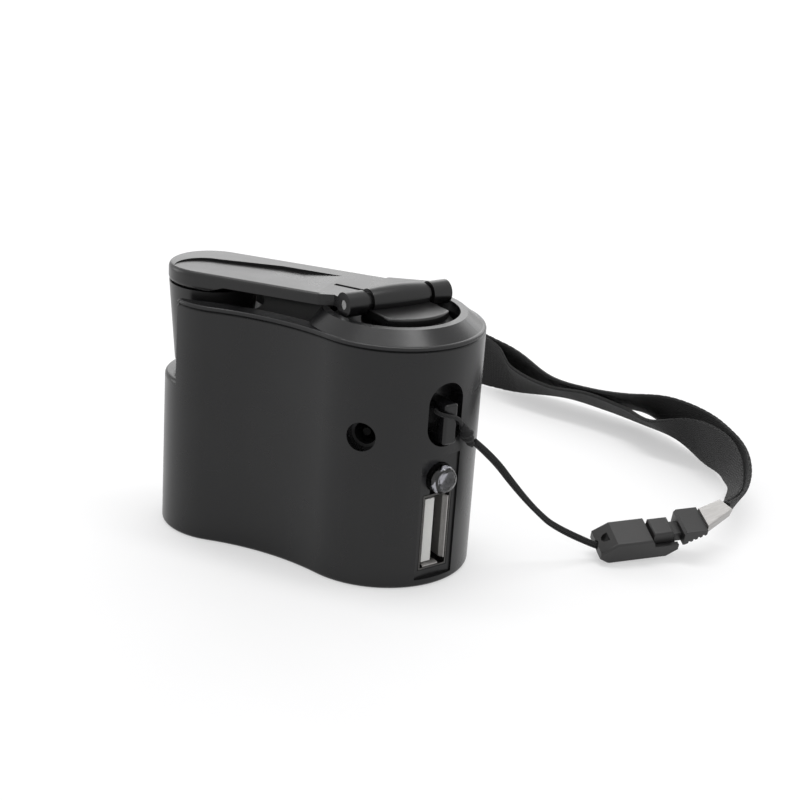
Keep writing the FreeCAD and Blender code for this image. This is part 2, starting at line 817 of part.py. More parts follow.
def make_crank_arm():
    plate = arm_blade(arm_end_bottom, arm_top)
    plate = plate.cut(arm_underside())

    inner = barrel_half_length + knuckle_gap
    ears = [hinge_rod(knuckle_radius, -ear_outer, -inner),
            hinge_rod(knuckle_radius, inner, ear_outer)]
    body = fused(plate, *ears)
    bore = hinge_rod(pin_radius + 0.01, -cutter, cutter)
    slit = turned(block(slit_start_x, slit_end_x, slit_offset - slit_width / 2,
                        slit_offset + slit_width / 2, arm_end_bottom, arm_top + 1), slit_angle)
    axle_hole = cylinder(axle_radius + 0.01, arm_end_bottom - 1,
                         arm_end_bottom + axle_depth_in_arm + fit_gap, knob_x, 0)
    return less(body, bore, axle_hole, scoop_tool(), slit)


def make_hinge_pin():
    reach = ear_outer - 0.1
    return hinge_rod(pin_radius, -reach, reach)


def make_knob_axle():
    head_low = knob_bottom + axle_head_recess
    head_high = head_low + axle_head_height
    head = cylinder(axle_head_radius, head_low, head_high, knob_x, 0)
    pin = cylinder(axle_radius, head_high - 0.1, arm_end_bottom + axle_depth_in_arm, knob_x, 0)
    return fused(head, pin)


def make_knob():
    body = revolved((
        (0, knob_bottom), (knob_bottom_radius, knob_bottom), (knob_top_radius, knob_top),
        (0, knob_top),
    ), knob_x, 0)
    body = body.makeFillet(knob_rounding, edges_at(body, knob_bottom))
    recess_top = knob_bottom + axle_head_recess + axle_head_height + axle_running_gap
    recess = cylinder(axle_head_radius + axle_head_recess, knob_bottom - 1, recess_top, knob_x, 0)
    bore = cylinder(axle_radius + axle_running_gap, knob_bottom - 1, knob_top + 1, knob_x, 0)
    return less(body, recess, bore)


# =============================================================================================
# gear train
# =============================================================================================
def involute(angle):
    return math.tan(angle) - angle


def gear_outline(teeth, phase):
    """Involute teeth as short straight flanks; phase turns the first tooth, in degrees."""
    pitch = gear_module * teeth / 2
    base = pitch * math.cos(pressure_angle)
    tip = pitch + gear_module
    root = pitch - 1.25 * gear_module
    at_pitch = math.pi / (2 * teeth) - backlash / (2 * pitch)

    def half_angle(radius):
        roll = math.acos(base / max(radius, base))
        return at_pitch + involute(pressure_angle) - involute(roll)

    low = max(root, base)
    radii = [low, (low + tip) / 2, tip]
    if low > root + 0.05:
        radii.insert(0, root)
    points = []
    for tooth in range(teeth):
        centre = math.radians(phase) + 2 * math.pi * tooth / teeth
        flank = [(r, half_angle(r)) for r in radii]
        for r, a in flank:
            points.append((r * math.cos(centre - a), r * math.sin(centre - a)))
        for r, a in reversed(flank):
            points.append((r * math.cos(centre + a), r * math.sin(centre + a)))
    return points


def gear(teeth, phase, low, high, x=0.0):
    outline = [(px + x, py) for px, py in gear_outline(teeth, phase)]
    return prism(outline, low, high)


def compound_x():
    return -(gear_module * (wheel_teeth + pinion_teeth) / 2 + mesh_slack)


def wheel_c_bottom():
    return plate_top + layer_gap + fit_gap


def wheel_b_bottom():
    return wheel_c_bottom() + wheel_c_face + layer_gap + fit_gap


def make_input_gear():
    low = input_gear_bottom()
    top = input_gear_top()
    body = fused(
        gear(wheel_teeth, 0, low, low + wheel_a_face),
        cylinder(rotor_hub_radius - 0.2, low + wheel_a_face - 0.1, top),
    )
    seat = low + 0.1 + rotor_screw_head_height
    return less(
        body,
        cylinder(rotor_screw_head_radius + 0.2, low - 1, seat),
        cylinder(rotor_stub_radius + 0.01, low - 1, top + 1),
    )


def compound_gear(x, wheel_low, wheel_high, pinion_high):
    """A wheel with a smaller pinion on top, bored for its axle."""
    body = fused(
        gear(wheel_teeth, 0, wheel_low, wheel_high, x),
        gear(pinion_teeth, 180 / pinion_teeth, wheel_high - 0.05, pinion_high, x),
    )
    bore = cylinder(gear_axle_radius + gear_running_gap, wheel_low - 1, pinion_high + 1, x, 0)
    return body.cut(bore)


def make_first_compound_gear():
    low = wheel_b_bottom() + 0.05
    return compound_gear(compound_x(), low, low + wheel_b_face - 0.1,
                         input_gear_bottom() + wheel_a_face)


def make_second_compound_gear():
    low = wheel_c_bottom()
    return compound_gear(0, low, low + wheel_c_face, wheel_b_bottom() + wheel_b_face)


def make_first_axle():
    low = wheel_b_bottom() - washer_thickness - 0.15
    return cylinder(gear_axle_radius, low, deck_top - 0.4, compound_x(), 0)


def make_axle_washer():
    high = wheel_b_bottom()
    return ring(washer_radius, gear_axle_radius, high - washer_thickness, high, compound_x(), 0)


def make_second_axle():
    top = wheel_b_bottom() + wheel_b_face + 0.1
    return fused(
        cylinder(gear_axle_radius, plate_bottom, top),
        cylinder(gear_axle_radius + 0.6, plate_top, wheel_c_bottom() - fit_gap),
    )


def make_gear_plate():
    low, high = plate_bottom, plate_top
    plate = pear(-(wall + 4 * fit_gap), low, high)
    pocket = u_slot(pocket_half_width + pocket_wall + 4 * fit_gap, low - 1, high + 1)
    holes = [cylinder(screw_hole_radius, low - 1, high + 1, x, y) for x, y in post_places]
    recess = anchor_clearance(low - 1, high + 1)
    return less(
        plate, pocket, mouth_cut(low - 1, high + 1), recess,
        cylinder(gear_axle_radius, low - 1, high + 1),
        cylinder(shaft_radius + 0.6, low - 1, high + 1, generator_x(), 0), *holes,
    )


def anchor_clearance(z0, z1):
    """Keeps inner parts off the wall behind the lanyard anchor."""
    side = anchor_half_width + anchor_wall + fit_gap
    back = anchor_floor - anchor_wall - 4 * fit_gap
    return turned(block(back, cutter, -side, side, z0, z1), port_angle)


# =============================================================================================
# generator
# =============================================================================================
def make_generator_can():
    x = generator_x()
    outer = cylinder(can_radius, can_bottom, plate_bottom, x, 0)
    inner = cylinder(can_radius - can_wall, can_bottom - 1, plate_bottom - can_wall, x, 0)
    bearing = cylinder(bearing_radius, plate_bottom - can_wall - bearing_height, plate_bottom, x, 0)
    bore = cylinder(shaft_radius + gear_running_gap, can_bottom, plate_bottom + 1, x, 0)
    return less(fused(outer.cut(inner), bearing), bore)


def make_generator_end_cap():
    x = generator_x()
    low = end_cap_bottom()
    cap = fused(
        cylinder(can_radius, low, can_bottom, x, 0),
        cylinder(can_radius - can_wall - 0.05, can_bottom - fit_gap, can_bottom + 0.6, x, 0),
        cylinder(bearing_radius, low - bearing_height, low + fit_gap, x, 0),
    )
    bore = cylinder(shaft_radius + gear_running_gap, low - 2, can_bottom + 2, x, 0)
    slots = [tab_block(x, side, low - 1, can_bottom + 1, 0.02) for side in (-1, 1)]
    return less(cap, bore, *slots)


def tab_block(x, side, low, high, grow):
    """A brush tab's upright leaf, beside the commutator."""
    inner = commutator_radius + brush_leaf_gap - grow
    outer = inner + brush_leaf_thickness + 2 * grow
    half = brush_width / 2 + grow
    a, b = sorted((side * inner, side * outer))
    return block(x - half, x + half, a, b, low, high)


def make_generator_brushes():
    """Two sprung tabs: a terminal below the cap and a brush against the commutator."""
    x = generator_x()
    low = end_cap_bottom()
    tabs = []
    for side in (-1, 1):
        top = can_bottom + commutator_top - fit_gap
        leaf = tab_block(x, side, low - brush_terminal, top, 0)
        a, b = sorted((side * (commutator_radius + fit_gap),
                       side * (commutator_radius + brush_leaf_gap + fit_gap)))
        brush = block(x - brush_width / 2, x + brush_width / 2, a, b, top - 0.8, top)
        tabs.append(fused(leaf, brush))
    return Part.makeCompound(tabs)


def make_generator_magnets():
    x = generator_x()
    outer = can_radius - can_wall - magnet_gap
    low, high = armature_bottom - 0.5, armature_top + 0.5
    tube = ring(outer, outer - magnet_thickness, low, high, x, 0)
    half = magnet_spacing / 2
    gaps = block(x - half, x + half, -can_radius, can_radius, low - 1, high + 1)
    return tube.cut(gaps)


def armature_radius():
    return can_radius - can_wall - magnet_gap - magnet_thickness - armature_gap


def at_poles(shape, half_step=0.0):
    """Copies of a shape, one for each pole, moved to the generator's axis."""
    copies = []
    for pole in range(poles):
        copy = turned(shape.copy(), (pole + half_step) * 360 / poles)
        copy.translate(Vector(generator_x(), 0, 0))
        copies.append(copy)
    return copies


def make_generator_armature():
    x = generator_x()
    reach = armature_radius()
    low, high = armature_bottom, armature_top
    half = pole_width / 2
    web = block(0, reach - pole_shoe_thickness / 2, -half, half, low, high)
    gap = block(0, reach + 1, -armature_slot / 2, armature_slot / 2, low - 1, high + 1)
    shoes = less(ring(reach, reach - pole_shoe_thickness, low, high, x, 0), *at_poles(gap, 0.5))
    stack = fused(cylinder(armature_core_radius, low, high, x, 0), shoes, *at_poles(web))
    return stack.cut(cylinder(shaft_radius, low - 1, high + 1, x, 0))


def make_generator_windings():
    """Copper round each pole, as three blocks between the core and the pole shoes."""
    reach = armature_radius()
    low, high = armature_bottom - coil_end, armature_top + coil_end
    half = pole_width / 2 + coil_thickness
    shoe = math.sqrt((reach - pole_shoe_thickness) ** 2 - half**2) - fit_gap
    outer = block(armature_core_radius + fit_gap, shoe, -half, half, low, high)
    web = block(0, reach, -pole_width / 2, pole_width / 2, armature_bottom, armature_top)
    return Part.makeCompound(at_poles(outer.cut(web)))


def make_commutator():
    x = generator_x()
    low, high = can_bottom + commutator_bottom, can_bottom + commutator_top
    return ring(commutator_radius, shaft_radius, low, high, x, 0)


def make_generator_shaft():
    x = generator_x()
    return cylinder(shaft_radius, end_cap_bottom() - 1.0, wheel_c_bottom() + wheel_c_face - 0.2,
                    x, 0)


def make_generator_pinion():
    x = generator_x()
    low = wheel_c_bottom()
    body = gear(generator_pinion_teeth, 180 / generator_pinion_teeth, low,
                low + wheel_c_face - 0.2, x)
    return body.cut(cylinder(shaft_radius, low - 1, low + 5, x, 0))


# =============================================================================================
# sockets, lamp and board
# =============================================================================================
def usb_middle():
    return usb_bottom + usb_height / 2


def make_usb_shell():
    back = port_plane - usb_length
    half = usb_width / 2
    outer = block(back, port_plane, -half, half, usb_bottom, usb_bottom + usb_height)
    inner = block(
        back + usb_metal, port_plane + 1, -half + usb_metal, half - usb_metal,
        usb_bottom + usb_metal, usb_bottom + usb_height - usb_metal,
    )
    return turned(outer.cut(inner), port_angle)


def make_usb_tongue():
    back = port_plane - usb_length + usb_metal
    half = usb_width / 2 - usb_metal
    low = usb_bottom + usb_metal
    rear = block(back, back + 2.5, -half, half, low, low + usb_height - 2 * usb_metal)
    middle = usb_middle()
    tongue = block(
        back + 2, port_plane - tongue_setback,
        -tongue_offset - tongue_thickness / 2, -tongue_offset + tongue_thickness / 2,
        middle - tongue_height / 2, middle + tongue_height / 2,
    )
    return turned(fused(rear, tongue), port_angle)


def make_usb_contacts():
    face = -tongue_offset - tongue_thickness / 2
    back = port_plane - usb_length + usb_metal + 2.5
    strips = [
        block(back, port_plane - tongue_setback - 1.5, face - contact_thickness, face,
              usb_middle() + place - contact_width / 2, usb_middle() + place + contact_width / 2)
        for place in contact_pitches
    ]
    return turned(Part.makeCompound(strips), port_angle)


def make_lamp():
    """A clear 5 mm lamp: flange, cylinder and dome."""
    tip = port_plane + lamp_stick_out
    dome = tip - lamp_radius
    back = tip - lamp_length
    axis = Vector(1, 0, 0)
    body = Part.makeCylinder(lamp_radius, dome - back, Vector(back, 0, lamp_height), axis)
    ball = Part.makeSphere(lamp_radius, Vector(dome, 0, lamp_height))
    flange = Part.makeCylinder(lamp_flange_radius, lamp_flange_thickness,
                               Vector(back, 0, lamp_height), axis)
    return turned(fused(body, ball, flange), port_angle)


def make_lamp_leads():
    """Two wires from the lamp's back that turn sideways into the board."""
    back = port_plane + lamp_stick_out - lamp_length
    wires = []
    for step in (-0.5, 0.5):
        z = lamp_height + step * lead_spacing
        bend = Vector(back - 1.5, 0, z)
        along = rod(lead_radius, Vector(back, 0, z), bend)
        corner = Part.makeSphere(lead_radius, bend)
        across = rod(lead_radius, bend, Vector(bend.x, board_face(), z))
        wires.append(fused(along, corner, across))
    return turned(Part.makeCompound(wires), port_angle)


def board_face():
    return -usb_width / 2


def make_circuit_board():
    face = board_face()
    board = block(board_inner, board_outer, face - board_thickness, face, floor_thickness,
                  board_top)
    cavity = pear(-(wall + fit_gap), 0, seam_height)
    return turned(board, port_angle).common(cavity)


def make_capacitor():
    """A can capacitor that stands beside the board, with two legs into it."""
    face = board_face() - board_thickness
    y = face - capacitor_radius - 0.4
    low = floor_thickness + 1.2
    can = cylinder(capacitor_radius, low, low + capacitor_height, capacitor_place, y)
    can = can.makeChamfer(0.3, edges_at(can, low + capacitor_height))
    legs = []
    for step in (-0.5, 0.5):
        x = capacitor_place + step * capacitor_leg_pitch
        bend = Vector(x, y, low - 0.6)
        legs.append(rod(lead_radius, bend, Vector(x, y, low)))
        legs.append(rod(lead_radius, bend, Vector(x, face, bend.z)))
        legs.append(Part.makeSphere(lead_radius, bend))
    return turned(fused(can, *legs), port_angle)


def make_board_chip():
    face = board_face() - board_thickness
    long, deep, high = chip_size
    chip = block(chip_place, chip_place + long, face - deep, face, chip_bottom, chip_bottom + high)
    return turned(chip, port_angle)


def make_inductor():
    face = board_face() - board_thickness
    start = Vector(inductor_place, face - inductor_thickness, inductor_height)
    coil = Part.makeCylinder(inductor_radius, inductor_thickness, start, Vector(0, 1, 0))
    return turned(coil, port_angle)


def jack_front():
    """Where the jack meets the housing's inside wall."""
    inside = wide_radius - wall
    return -(math.sqrt(inside**2 - (abs(side_hole_x) + jack_radius) ** 2) - 0.05)


def make_jack_body():
    front = jack_front()
    start = Vector(side_hole_x, front, side_hole_height)
    body = Part.makeCylinder(jack_radius, jack_length, start, Vector(0, 1, 0))
    bore = Part.makeCylinder(jack_bore_radius, jack_bore_depth, start, Vector(0, 1, 0))
    return body.cut(bore)


def make_jack_pin():
    front = jack_front()
    start = Vector(side_hole_x, front + 0.6, side_hole_height)
    end = Vector(side_hole_x, front + jack_bore_depth, side_hole_height)
    return rod(jack_pin_radius, start, end)


# =============================================================================================
# wrist strap
# =============================================================================================
def rounded_path(points):
    """Straight runs joined by tangent arcs as large as each pair of runs allows.

    Returns the edges and the length."""
    edges = []
    total = 0.0
    here = points[0]
    for before, corner, after in zip(points, points[1:], points[2:]):
        run_in, run_out = corner - before, after - corner
        turn = run_in.getAngle(run_out)
        short = min(run_in.Length, run_out.Length)
        back_off = 0.45 * short
        radius = back_off / math.tan(turn / 2)
        print("bend radius", round(radius, 1), "turn", round(math.degrees(turn), 1))
        start = corner - run_in.normalize() * back_off
        end = corner + run_out.normalize() * back_off
        inward = (start + end) * 0.5 - corner
        depth = radius / math.cos(turn / 2) - radius
        middle = corner + inward.normalize() * depth
        edges.append(Part.makeLine(here, start))
        total += (start - here).Length + radius * turn
        edges.append(Part.Arc(start, middle, end).toShape())
        here = end
    edges.append(Part.makeLine(here, points[-1]))
    return edges, total + (points[-1] - here).Length


def tube(points, diameter, name):
    edges, length = rounded_path([Vector(*p) for p in points])
    path = Part.Wire(edges)
    start = Vector(*points[0])
    ahead = Vector(*points[1]) - start
    section = Part.Wire([Part.makeCircle(diameter / 2, start, ahead)])
    solid = path.makePipeShell([section], True, False)
    share = solid.Volume / (math.pi * diameter**2 / 4 * length)
    print(name, "length", round(length, 1), "volume share", round(share, 4))
    return solid


def make_lanyard_cord():
    return tube(cord_route, cord_diameter, "cord")


def make_cord_knot():
    """A small lump where the loop and the doubled cord are tied."""
    first, second = Vector(*cord_route[0]), Vector(*cord_route[1])
    out = (first - second).normalize()
    centre = first + out * (knot_radius * 0.9)
    ball = Part.makeSphere(knot_radius, centre)
    gap = Part.makeBox(4, 4, 4)
    gap.translate(Vector(-2, -2, 0))
    turn = FreeCAD.Rotation(Vector(0, 0, 1), out * -1)
    gap.Placement = FreeCAD.Placement(first, turn).multiply(
        FreeCAD.Placement(Vector(-2, -2, 0), FreeCAD.Rotation()))
    return ball.cut(gap)


def loop_points():
    """The small loop round the anchor's bar, from the knot and back to it, in the port frame."""
    back = bar_front - bar_thickness - loop_diameter / 2 - loop_slack
    front = bar_front + loop_diameter / 2 + loop_slack
    left = bar_offset - bar_width / 2
    right = bar_offset + bar_width / 2

    def up(share):
        return bar_bottom + share * (bar_top - bar_bottom)

    return [
        (front - 1.55, right + 2.25, up(0.25)),
        (front - 1.6, right + 1.6, up(0.44)),
        (back, right, up(0.56)),
        (back, left, up(0.60)),
        (back + 1.5, left - 1.3, up(0.63)),
        (front, left - 0.3, up(0.60)),
        (front, right + 0.1, up(0.51)),
        (front - 0.15, right + 2.25, up(0.25)),
    ]


def make_cord_loop():
    edges, length = rounded_path([Vector(*p) for p in loop_points()])
    start = Vector(*loop_points()[0])
    ahead = Vector(*loop_points()[1]) - start
    section = Part.Wire([Part.makeCircle(loop_diameter / 2, start, ahead)])
    solid = Part.Wire(edges).makePipeShell([section], True, False)
    print("loop length", round(length, 1), "share",
          round(solid.Volume / (math.pi * loop_diameter**2 / 4 * length), 4))
    return turned(solid, port_angle)


def laid_along(shape, start, end, lean):
    """Moves a shape from a frame whose +X runs from start to end, with its origin at start."""
    run = end - start
    heading = math.degrees(math.atan2(run.y, run.x))
    pitch = math.degrees(math.atan2(run.z, math.hypot(run.x, run.y)))
    shape.rotate(Vector(0, 0, 0), Vector(1, 0, 0), lean)
    shape.rotate(Vector(0, 0, 0), Vector(0, 1, 0), -pitch)
    shape.rotate(Vector(0, 0, 0), Vector(0, 0, 1), heading)
    shape.translate(start)
    return shape


def clasp_direction():
    heading, pitch = math.radians(clasp_heading), math.radians(clasp_pitch)
    return Vector(math.cos(heading) * math.cos(pitch), math.sin(heading) * math.cos(pitch),
                  math.sin(pitch))


def in_clasp_frame(shape):
    start = Vector(*clasp_place)
    return laid_along(shape, start, start + clasp_direction(), clasp_lean)


def side_profile(points, half_width):
    """A solid from a side view of (along, up) pairs, as wide as given."""
    corners = [Vector(x, -half_width, z) for x, z in points]
    wire = Part.makePolygon(corners + corners[:1])
    return Part.Face(wire).extrude(Vector(0, 2 * half_width, 0))


def make_clasp_socket():
    """The cord side of the clasp: an eye, a hump over the latch and an open throat."""
    body = side_profile((
        (0, 0.9), (1.2, 0), (socket_length - 2, 0), (socket_length, 1.3),
        (socket_length, socket_deck), (hump_end + 0.7, socket_deck), (hump_end + 0.4, 3.4),
        (hump_end, hump_height), (hump_start, hump_height), (0, 2.3),
    ), clasp_width / 2)
    rim = [e for e in body.Edges if e.BoundBox.YLength < 1e-6 and e.BoundBox.XMax < hump_end + 0.1]
    body = body.makeFillet(clasp_rounding, rim)
    eye = Part.makeCylinder(eye_radius, hump_height, Vector(1.7, 0, -0.5), Vector(0, 0, 1))
    tunnel = block(4.0, hump_end + 1, -throat_half_width, throat_half_width, throat_bottom,
                   hump_height - 0.7)
    throat = block(hump_end, socket_length + 1, -throat_half_width, throat_half_width,
                   throat_bottom, hump_height)
    body = in_clasp_frame(less(body, eye, tunnel, throat))
    cord_room = rod(cord_diameter / 2 + fit_gap, Vector(*cord_route[-2]), Vector(*cord_route[-1]))
    return body.cut(cord_room)


def make_clasp_plug():
    """The strap side of the clasp: a latch tongue, a neck and a collar with grip ridges."""
    low = throat_bottom + fit_gap
    side = latch_half_width
    tongue = block(4.4, hump_end + 0.8, -side, side, low, hump_height - 0.8)
    latch = block(hump_end + 0.5, 13.1, -side, side, low, latch_top)
    latch = latch.makeFillet(clasp_rounding, edges_at(latch, latch_top))
    neck = block(13.0, collar_start + 0.1, -1.5, 1.5, low + 0.2, 3.7)
    ramp_low, ramp_high = 2.2, collar_top - collar_edge
    collar = side_profile((
        (collar_start, ramp_low), (clasp_length, ramp_high), (clasp_length, collar_top),
        (collar_start, collar_top), (collar_start - 0.4, 4.5), (collar_start - 0.4, ramp_low),
    ), clasp_width / 2)
    slope = (ramp_high - ramp_low) / (clasp_length - collar_start)
    ridges = []
    for place in range(1, 5):
        x = collar_start + place * grip_pitch - 0.2
        roof = ramp_low + slope * (x - collar_start) + grip_depth
        ridges.append(block(x, x + 0.35, -clasp_width, clasp_width, 0, roof))
    slot = crimp_tab(fit_gap, clasp_length + 1)
    return in_clasp_frame(less(fused(tongue, latch, neck, collar), slot, *ridges))


def crimp_tab(grow, end):
    """The crimp's flat tab in the collar's slot, in the clasp's frame."""
    middle = collar_top - collar_edge / 2
    side = tab_half_width + grow
    rise = crimp_metal / 2 + grow
    return block(clasp_length - tab_length - grow, end, -side, side, middle - rise, middle + rise)


def crimp_start():
    """The middle of the collar's end, where the crimp's tab enters it."""
    point = Part.Vertex(clasp_length, 0, collar_top - collar_edge / 2)
    return in_clasp_frame(point).Point


def in_crimp_frame(shape):
    return laid_along(shape, crimp_start(), Vector(*crimp_end), clasp_lean)


def crimp_length():
    return (Vector(*crimp_end) - crimp_start()).Length


def make_strap_crimp():
    """A folded metal clip that grips both ends of the ribbon, with a tab to the clasp."""
    length = crimp_length()
    end = length - 3 * fit_gap
    half, tip = crimp_width / 2, crimp_width / 2 - crimp_taper
    rise = crimp_height / 2
    sleeve = prism([(-half, -half), (end, -tip), (end, tip), (-half, half)], -rise, rise)
    sleeve = sleeve.makeFillet(crimp_metal * 0.9, edges_at(sleeve, rise) + edges_at(sleeve, -rise))
    room = block(length - tail_length - fit_gap, length + 1, crimp_metal - tip, tip - crimp_metal,
                 crimp_metal - rise, rise - crimp_metal)
    reach = 2 * clasp_width
    collar = block(0, clasp_length + fit_gap, -reach, reach, -reach, reach)
    sleeve = less(in_crimp_frame(sleeve.cut(room)), in_clasp_frame(collar))
    return fused(sleeve, in_clasp_frame(crimp_tab(0, clasp_length + tab_length / 2)))


def ribbon_tail():
    """The gathered end of the ribbon, inside the crimp."""
    length = crimp_length()
    side = crimp_width / 2 - crimp_taper - crimp_metal - 0.05
    rise = crimp_height / 2 - crimp_metal - 0.05
    return in_crimp_frame(block(length - tail_length, length + 1.0, -side, side, -rise, rise))


def gather_cut(edge, beyond):
    """What is cut from the ribbon above or below its gathered end."""
    line = [(row[0], row[edge]) for row in ribbon_gather]
    corners = [Vector(0, y, z) for y, z in line]
    corners += [Vector(0, line[-1][0], beyond), Vector(0, 0, beyond), Vector(0, 0, line[0][1])]
    wire = Part.makePolygon(corners + corners[:1])
    return Part.Face(wire).extrude(Vector(cutter, 0, 0))


def make_strap_ribbon():
    """The doubled ribbon as one upright band along its route, with its tail in the crimp."""
    points = [Vector(x, y, 0) for x, y in ribbon_route]
    edges, length = rounded_path(points)
    path = Part.Wire(edges)
    start, ahead = points[0], (points[1] - points[0]).normalize()
    side = Vector(-ahead.y, ahead.x, 0) * (ribbon_thickness / 2)
    up = Vector(0, 0, ribbon_width)
    corners = [start + side, start - side, start - side + up, start + side + up]
    section = Part.makePolygon(corners + corners[:1])
    band = path.makePipeShell([section], True, False)
    share = band.Volume / (ribbon_thickness * ribbon_width * length)
    print("ribbon length", round(length, 1), "volume share", round(share, 4))
    band = less(band, gather_cut(1, -1), gather_cut(2, ribbon_width + 1))
    return fused(band, ribbon_tail())


# =============================================================================================
# all nodes
# =============================================================================================
NODES = {
    "main_housing": make_main_housing,
    "top_cover": make_top_cover,
    "case_screws": make_case_screws,
    "rotor_bush": make_rotor_bush,
    "crank_rotor": make_rotor,
    "rotor_screw": make_rotor_screw,
    "hinge_pin": make_hinge_pin,
    "crank_arm": make_crank_arm,
    "knob_axle": make_knob_axle,
    "knob": make_knob,
    "input_gear": make_input_gear,
    "first_compound_gear": make_first_compound_gear,
    "second_compound_gear": make_second_compound_gear,
    "first_gear_axle": make_first_axle,
    "second_gear_axle": make_second_axle,
    "axle_washer": make_axle_washer,
    "gear_plate": make_gear_plate,
    "generator_can": make_generator_can,
    "generator_end_cap": make_generator_end_cap,
    "generator_magnets": make_generator_magnets,
    "generator_armature": make_generator_armature,
    "generator_windings": make_generator_windings,
    "generator_commutator": make_commutator,
    "generator_brushes": make_generator_brushes,
    "generator_shaft": make_generator_shaft,
    "generator_pinion": make_generator_pinion,
    "usb_shell": make_usb_shell,
    "usb_tongue": make_usb_tongue,
    "usb_contacts": make_usb_contacts,
    "lamp": make_lamp,
    "lamp_leads": make_lamp_leads,
    "circuit_board": make_circuit_board,
    "board_capacitor": make_capacitor,
    "board_chip": make_board_chip,
    "board_inductor": make_inductor,
    "jack_body": make_jack_body,
    "jack_pin": make_jack_pin,
    "lanyard_loop": make_cord_loop,
    "lanyard_knot": make_cord_knot,
    "lanyard_cord": make_lanyard_cord,
    "clasp_socket": make_clasp_socket,
    "clasp_plug": make_clasp_plug,
    "strap_crimp": make_strap_crimp,
    "strap_ribbon": make_strap_ribbon,
}

os.makedirs("parts", exist_ok=True)
for name, make in NODES.items():
    shape = make()
    box = shape.BoundBox
    print(f"{name:22s} solids {len(shape.Solids):2d} faces {len(shape.Faces):4d} valid {shape.isValid()} "
          f"volume {shape.Volume:9.2f}  x {box.XMin:7.2f} {box.XMax:7.2f}  y {box.YMin:7.2f} "
          f"{box.YMax:7.2f}  z {box.ZMin:6.2f} {box.ZMax:6.2f}")
    shape.exportStep(f"parts/{name}.step")
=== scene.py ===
import json
import math

import bmesh
import bpy
from mathutils import Matrix, Quaternion, Vector


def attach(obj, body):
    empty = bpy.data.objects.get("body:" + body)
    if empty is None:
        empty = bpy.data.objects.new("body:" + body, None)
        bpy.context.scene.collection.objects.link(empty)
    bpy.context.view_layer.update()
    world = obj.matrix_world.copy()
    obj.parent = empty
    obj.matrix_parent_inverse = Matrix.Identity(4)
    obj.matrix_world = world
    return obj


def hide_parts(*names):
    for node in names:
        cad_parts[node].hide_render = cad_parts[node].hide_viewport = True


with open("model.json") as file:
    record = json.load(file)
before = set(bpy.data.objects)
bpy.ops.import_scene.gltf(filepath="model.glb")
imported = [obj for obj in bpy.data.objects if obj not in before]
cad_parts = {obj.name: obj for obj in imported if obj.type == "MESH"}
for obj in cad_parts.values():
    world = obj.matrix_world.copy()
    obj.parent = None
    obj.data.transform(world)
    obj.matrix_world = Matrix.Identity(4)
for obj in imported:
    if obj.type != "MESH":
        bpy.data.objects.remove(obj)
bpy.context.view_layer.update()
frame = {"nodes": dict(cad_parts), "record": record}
nodes = frame["nodes"]

MM = 0.001

# ---- camera ----
CAMERA_PLACE = Vector((87.14, -250.43, 125.21)) * MM
CAMERA_AIM = Vector((1.79, 0.61, 27.19)) * MM
CAMERA_ROLL = math.radians(4.02)
CAMERA_LENS = 77.47

# ---- strap, in millimetres like the part's own route ----
CORD_ROUTE = (
    (16.2, -3.9, 24.4),
    (18.8, -0.6, 20.8),
    (21.7, 2.9, 15.3),
    (24.6, 6.3, 10.4),
    (28.4, 9.0, 6.2),
    (34.6, 14.1, 2.4),
)
CORD_WIDTH = 1.3
STRAND_WIDTH = 0.7
STRAND_LAY = math.radians(50)   # how far the two strands are turned from lying level
STRAND_SWAY = 0.3               # how far that turn wanders along the cord, in radians
STRAND_SWAY_RATE = 9.0
STRAND_SIDES = 10
# the loop round the anchor's bar, in the port's own frame
PORT_ANGLE = math.radians(-32.3)
LOOP_ROUTE = (
    (15.5, 2.7, 27.6),
    (16.4, 2.0, 28.5),
    (16.75, 0.6, 29.6),
    (16.7, -1.3, 30.1),
    (15.0, -2.0, 30.2),
    (13.3, -1.2, 30.1),
    (13.3, 1.2, 29.6),
    (14.6, 2.3, 28.6),
    (15.2, 2.7, 27.6),
)
LOOP_STRAND = 0.68
LOOP_STEPS = 10
# the knot between the loop and the cord, in the part's frame
KNOT_START = (14.5, -5.85, 27.9)
KNOT_END = (16.1, -4.0, 23.5)
KNOT_WIDTH = 2.2
KNOT_WRAPS = 4.5
KNOT_SIDES = 28
KNOT_STEPS = 60
# the lips inside the socket's mouth, in the port's own frame
LIP_METAL = 0.2
LIP_BEND = ((14.1, 2.3), (13.7, 2.15), (13.25, 1.95), (12.6, 2.0), (9.0, 2.3))
SIDE_LIP_Z = (3.9, 9.0, 14.9)
LOW_LIP_BEND = ((14.1, 3.3), (13.75, 3.4), (13.35, 3.5), (12.8, 3.45), (10.0, 3.3))
LOW_LIP_SIDE = (-1.9, 0.0, 1.2)
RIBBON_ROUTE = (
    (52.8, 31.0, 6.7),
    (54.6, 37.6, 6.2),
    (55.0, 45.0, 5.8),
    (52.8, 53.4, 5.6),
    (48.0, 61.4, 5.6),
    (41.2, 68.4, 5.6),
    (32.2, 74.2, 5.6),
    (22.0, 78.2, 5.6),
    (11.0, 81.4, 5.6),
    (0.0, 83.9, 5.6),
    (-11.0, 85.3, 5.6),
    (-22.0, 85.2, 5.6),
    (-32.5, 83.2, 5.6),
)
RIBBON_STEPS = 24
LAYER_THICKNESS = 0.7
SELVEDGE_WAVE = 0.07            # how far the woven edges wander
FOLD_STEPS = 8
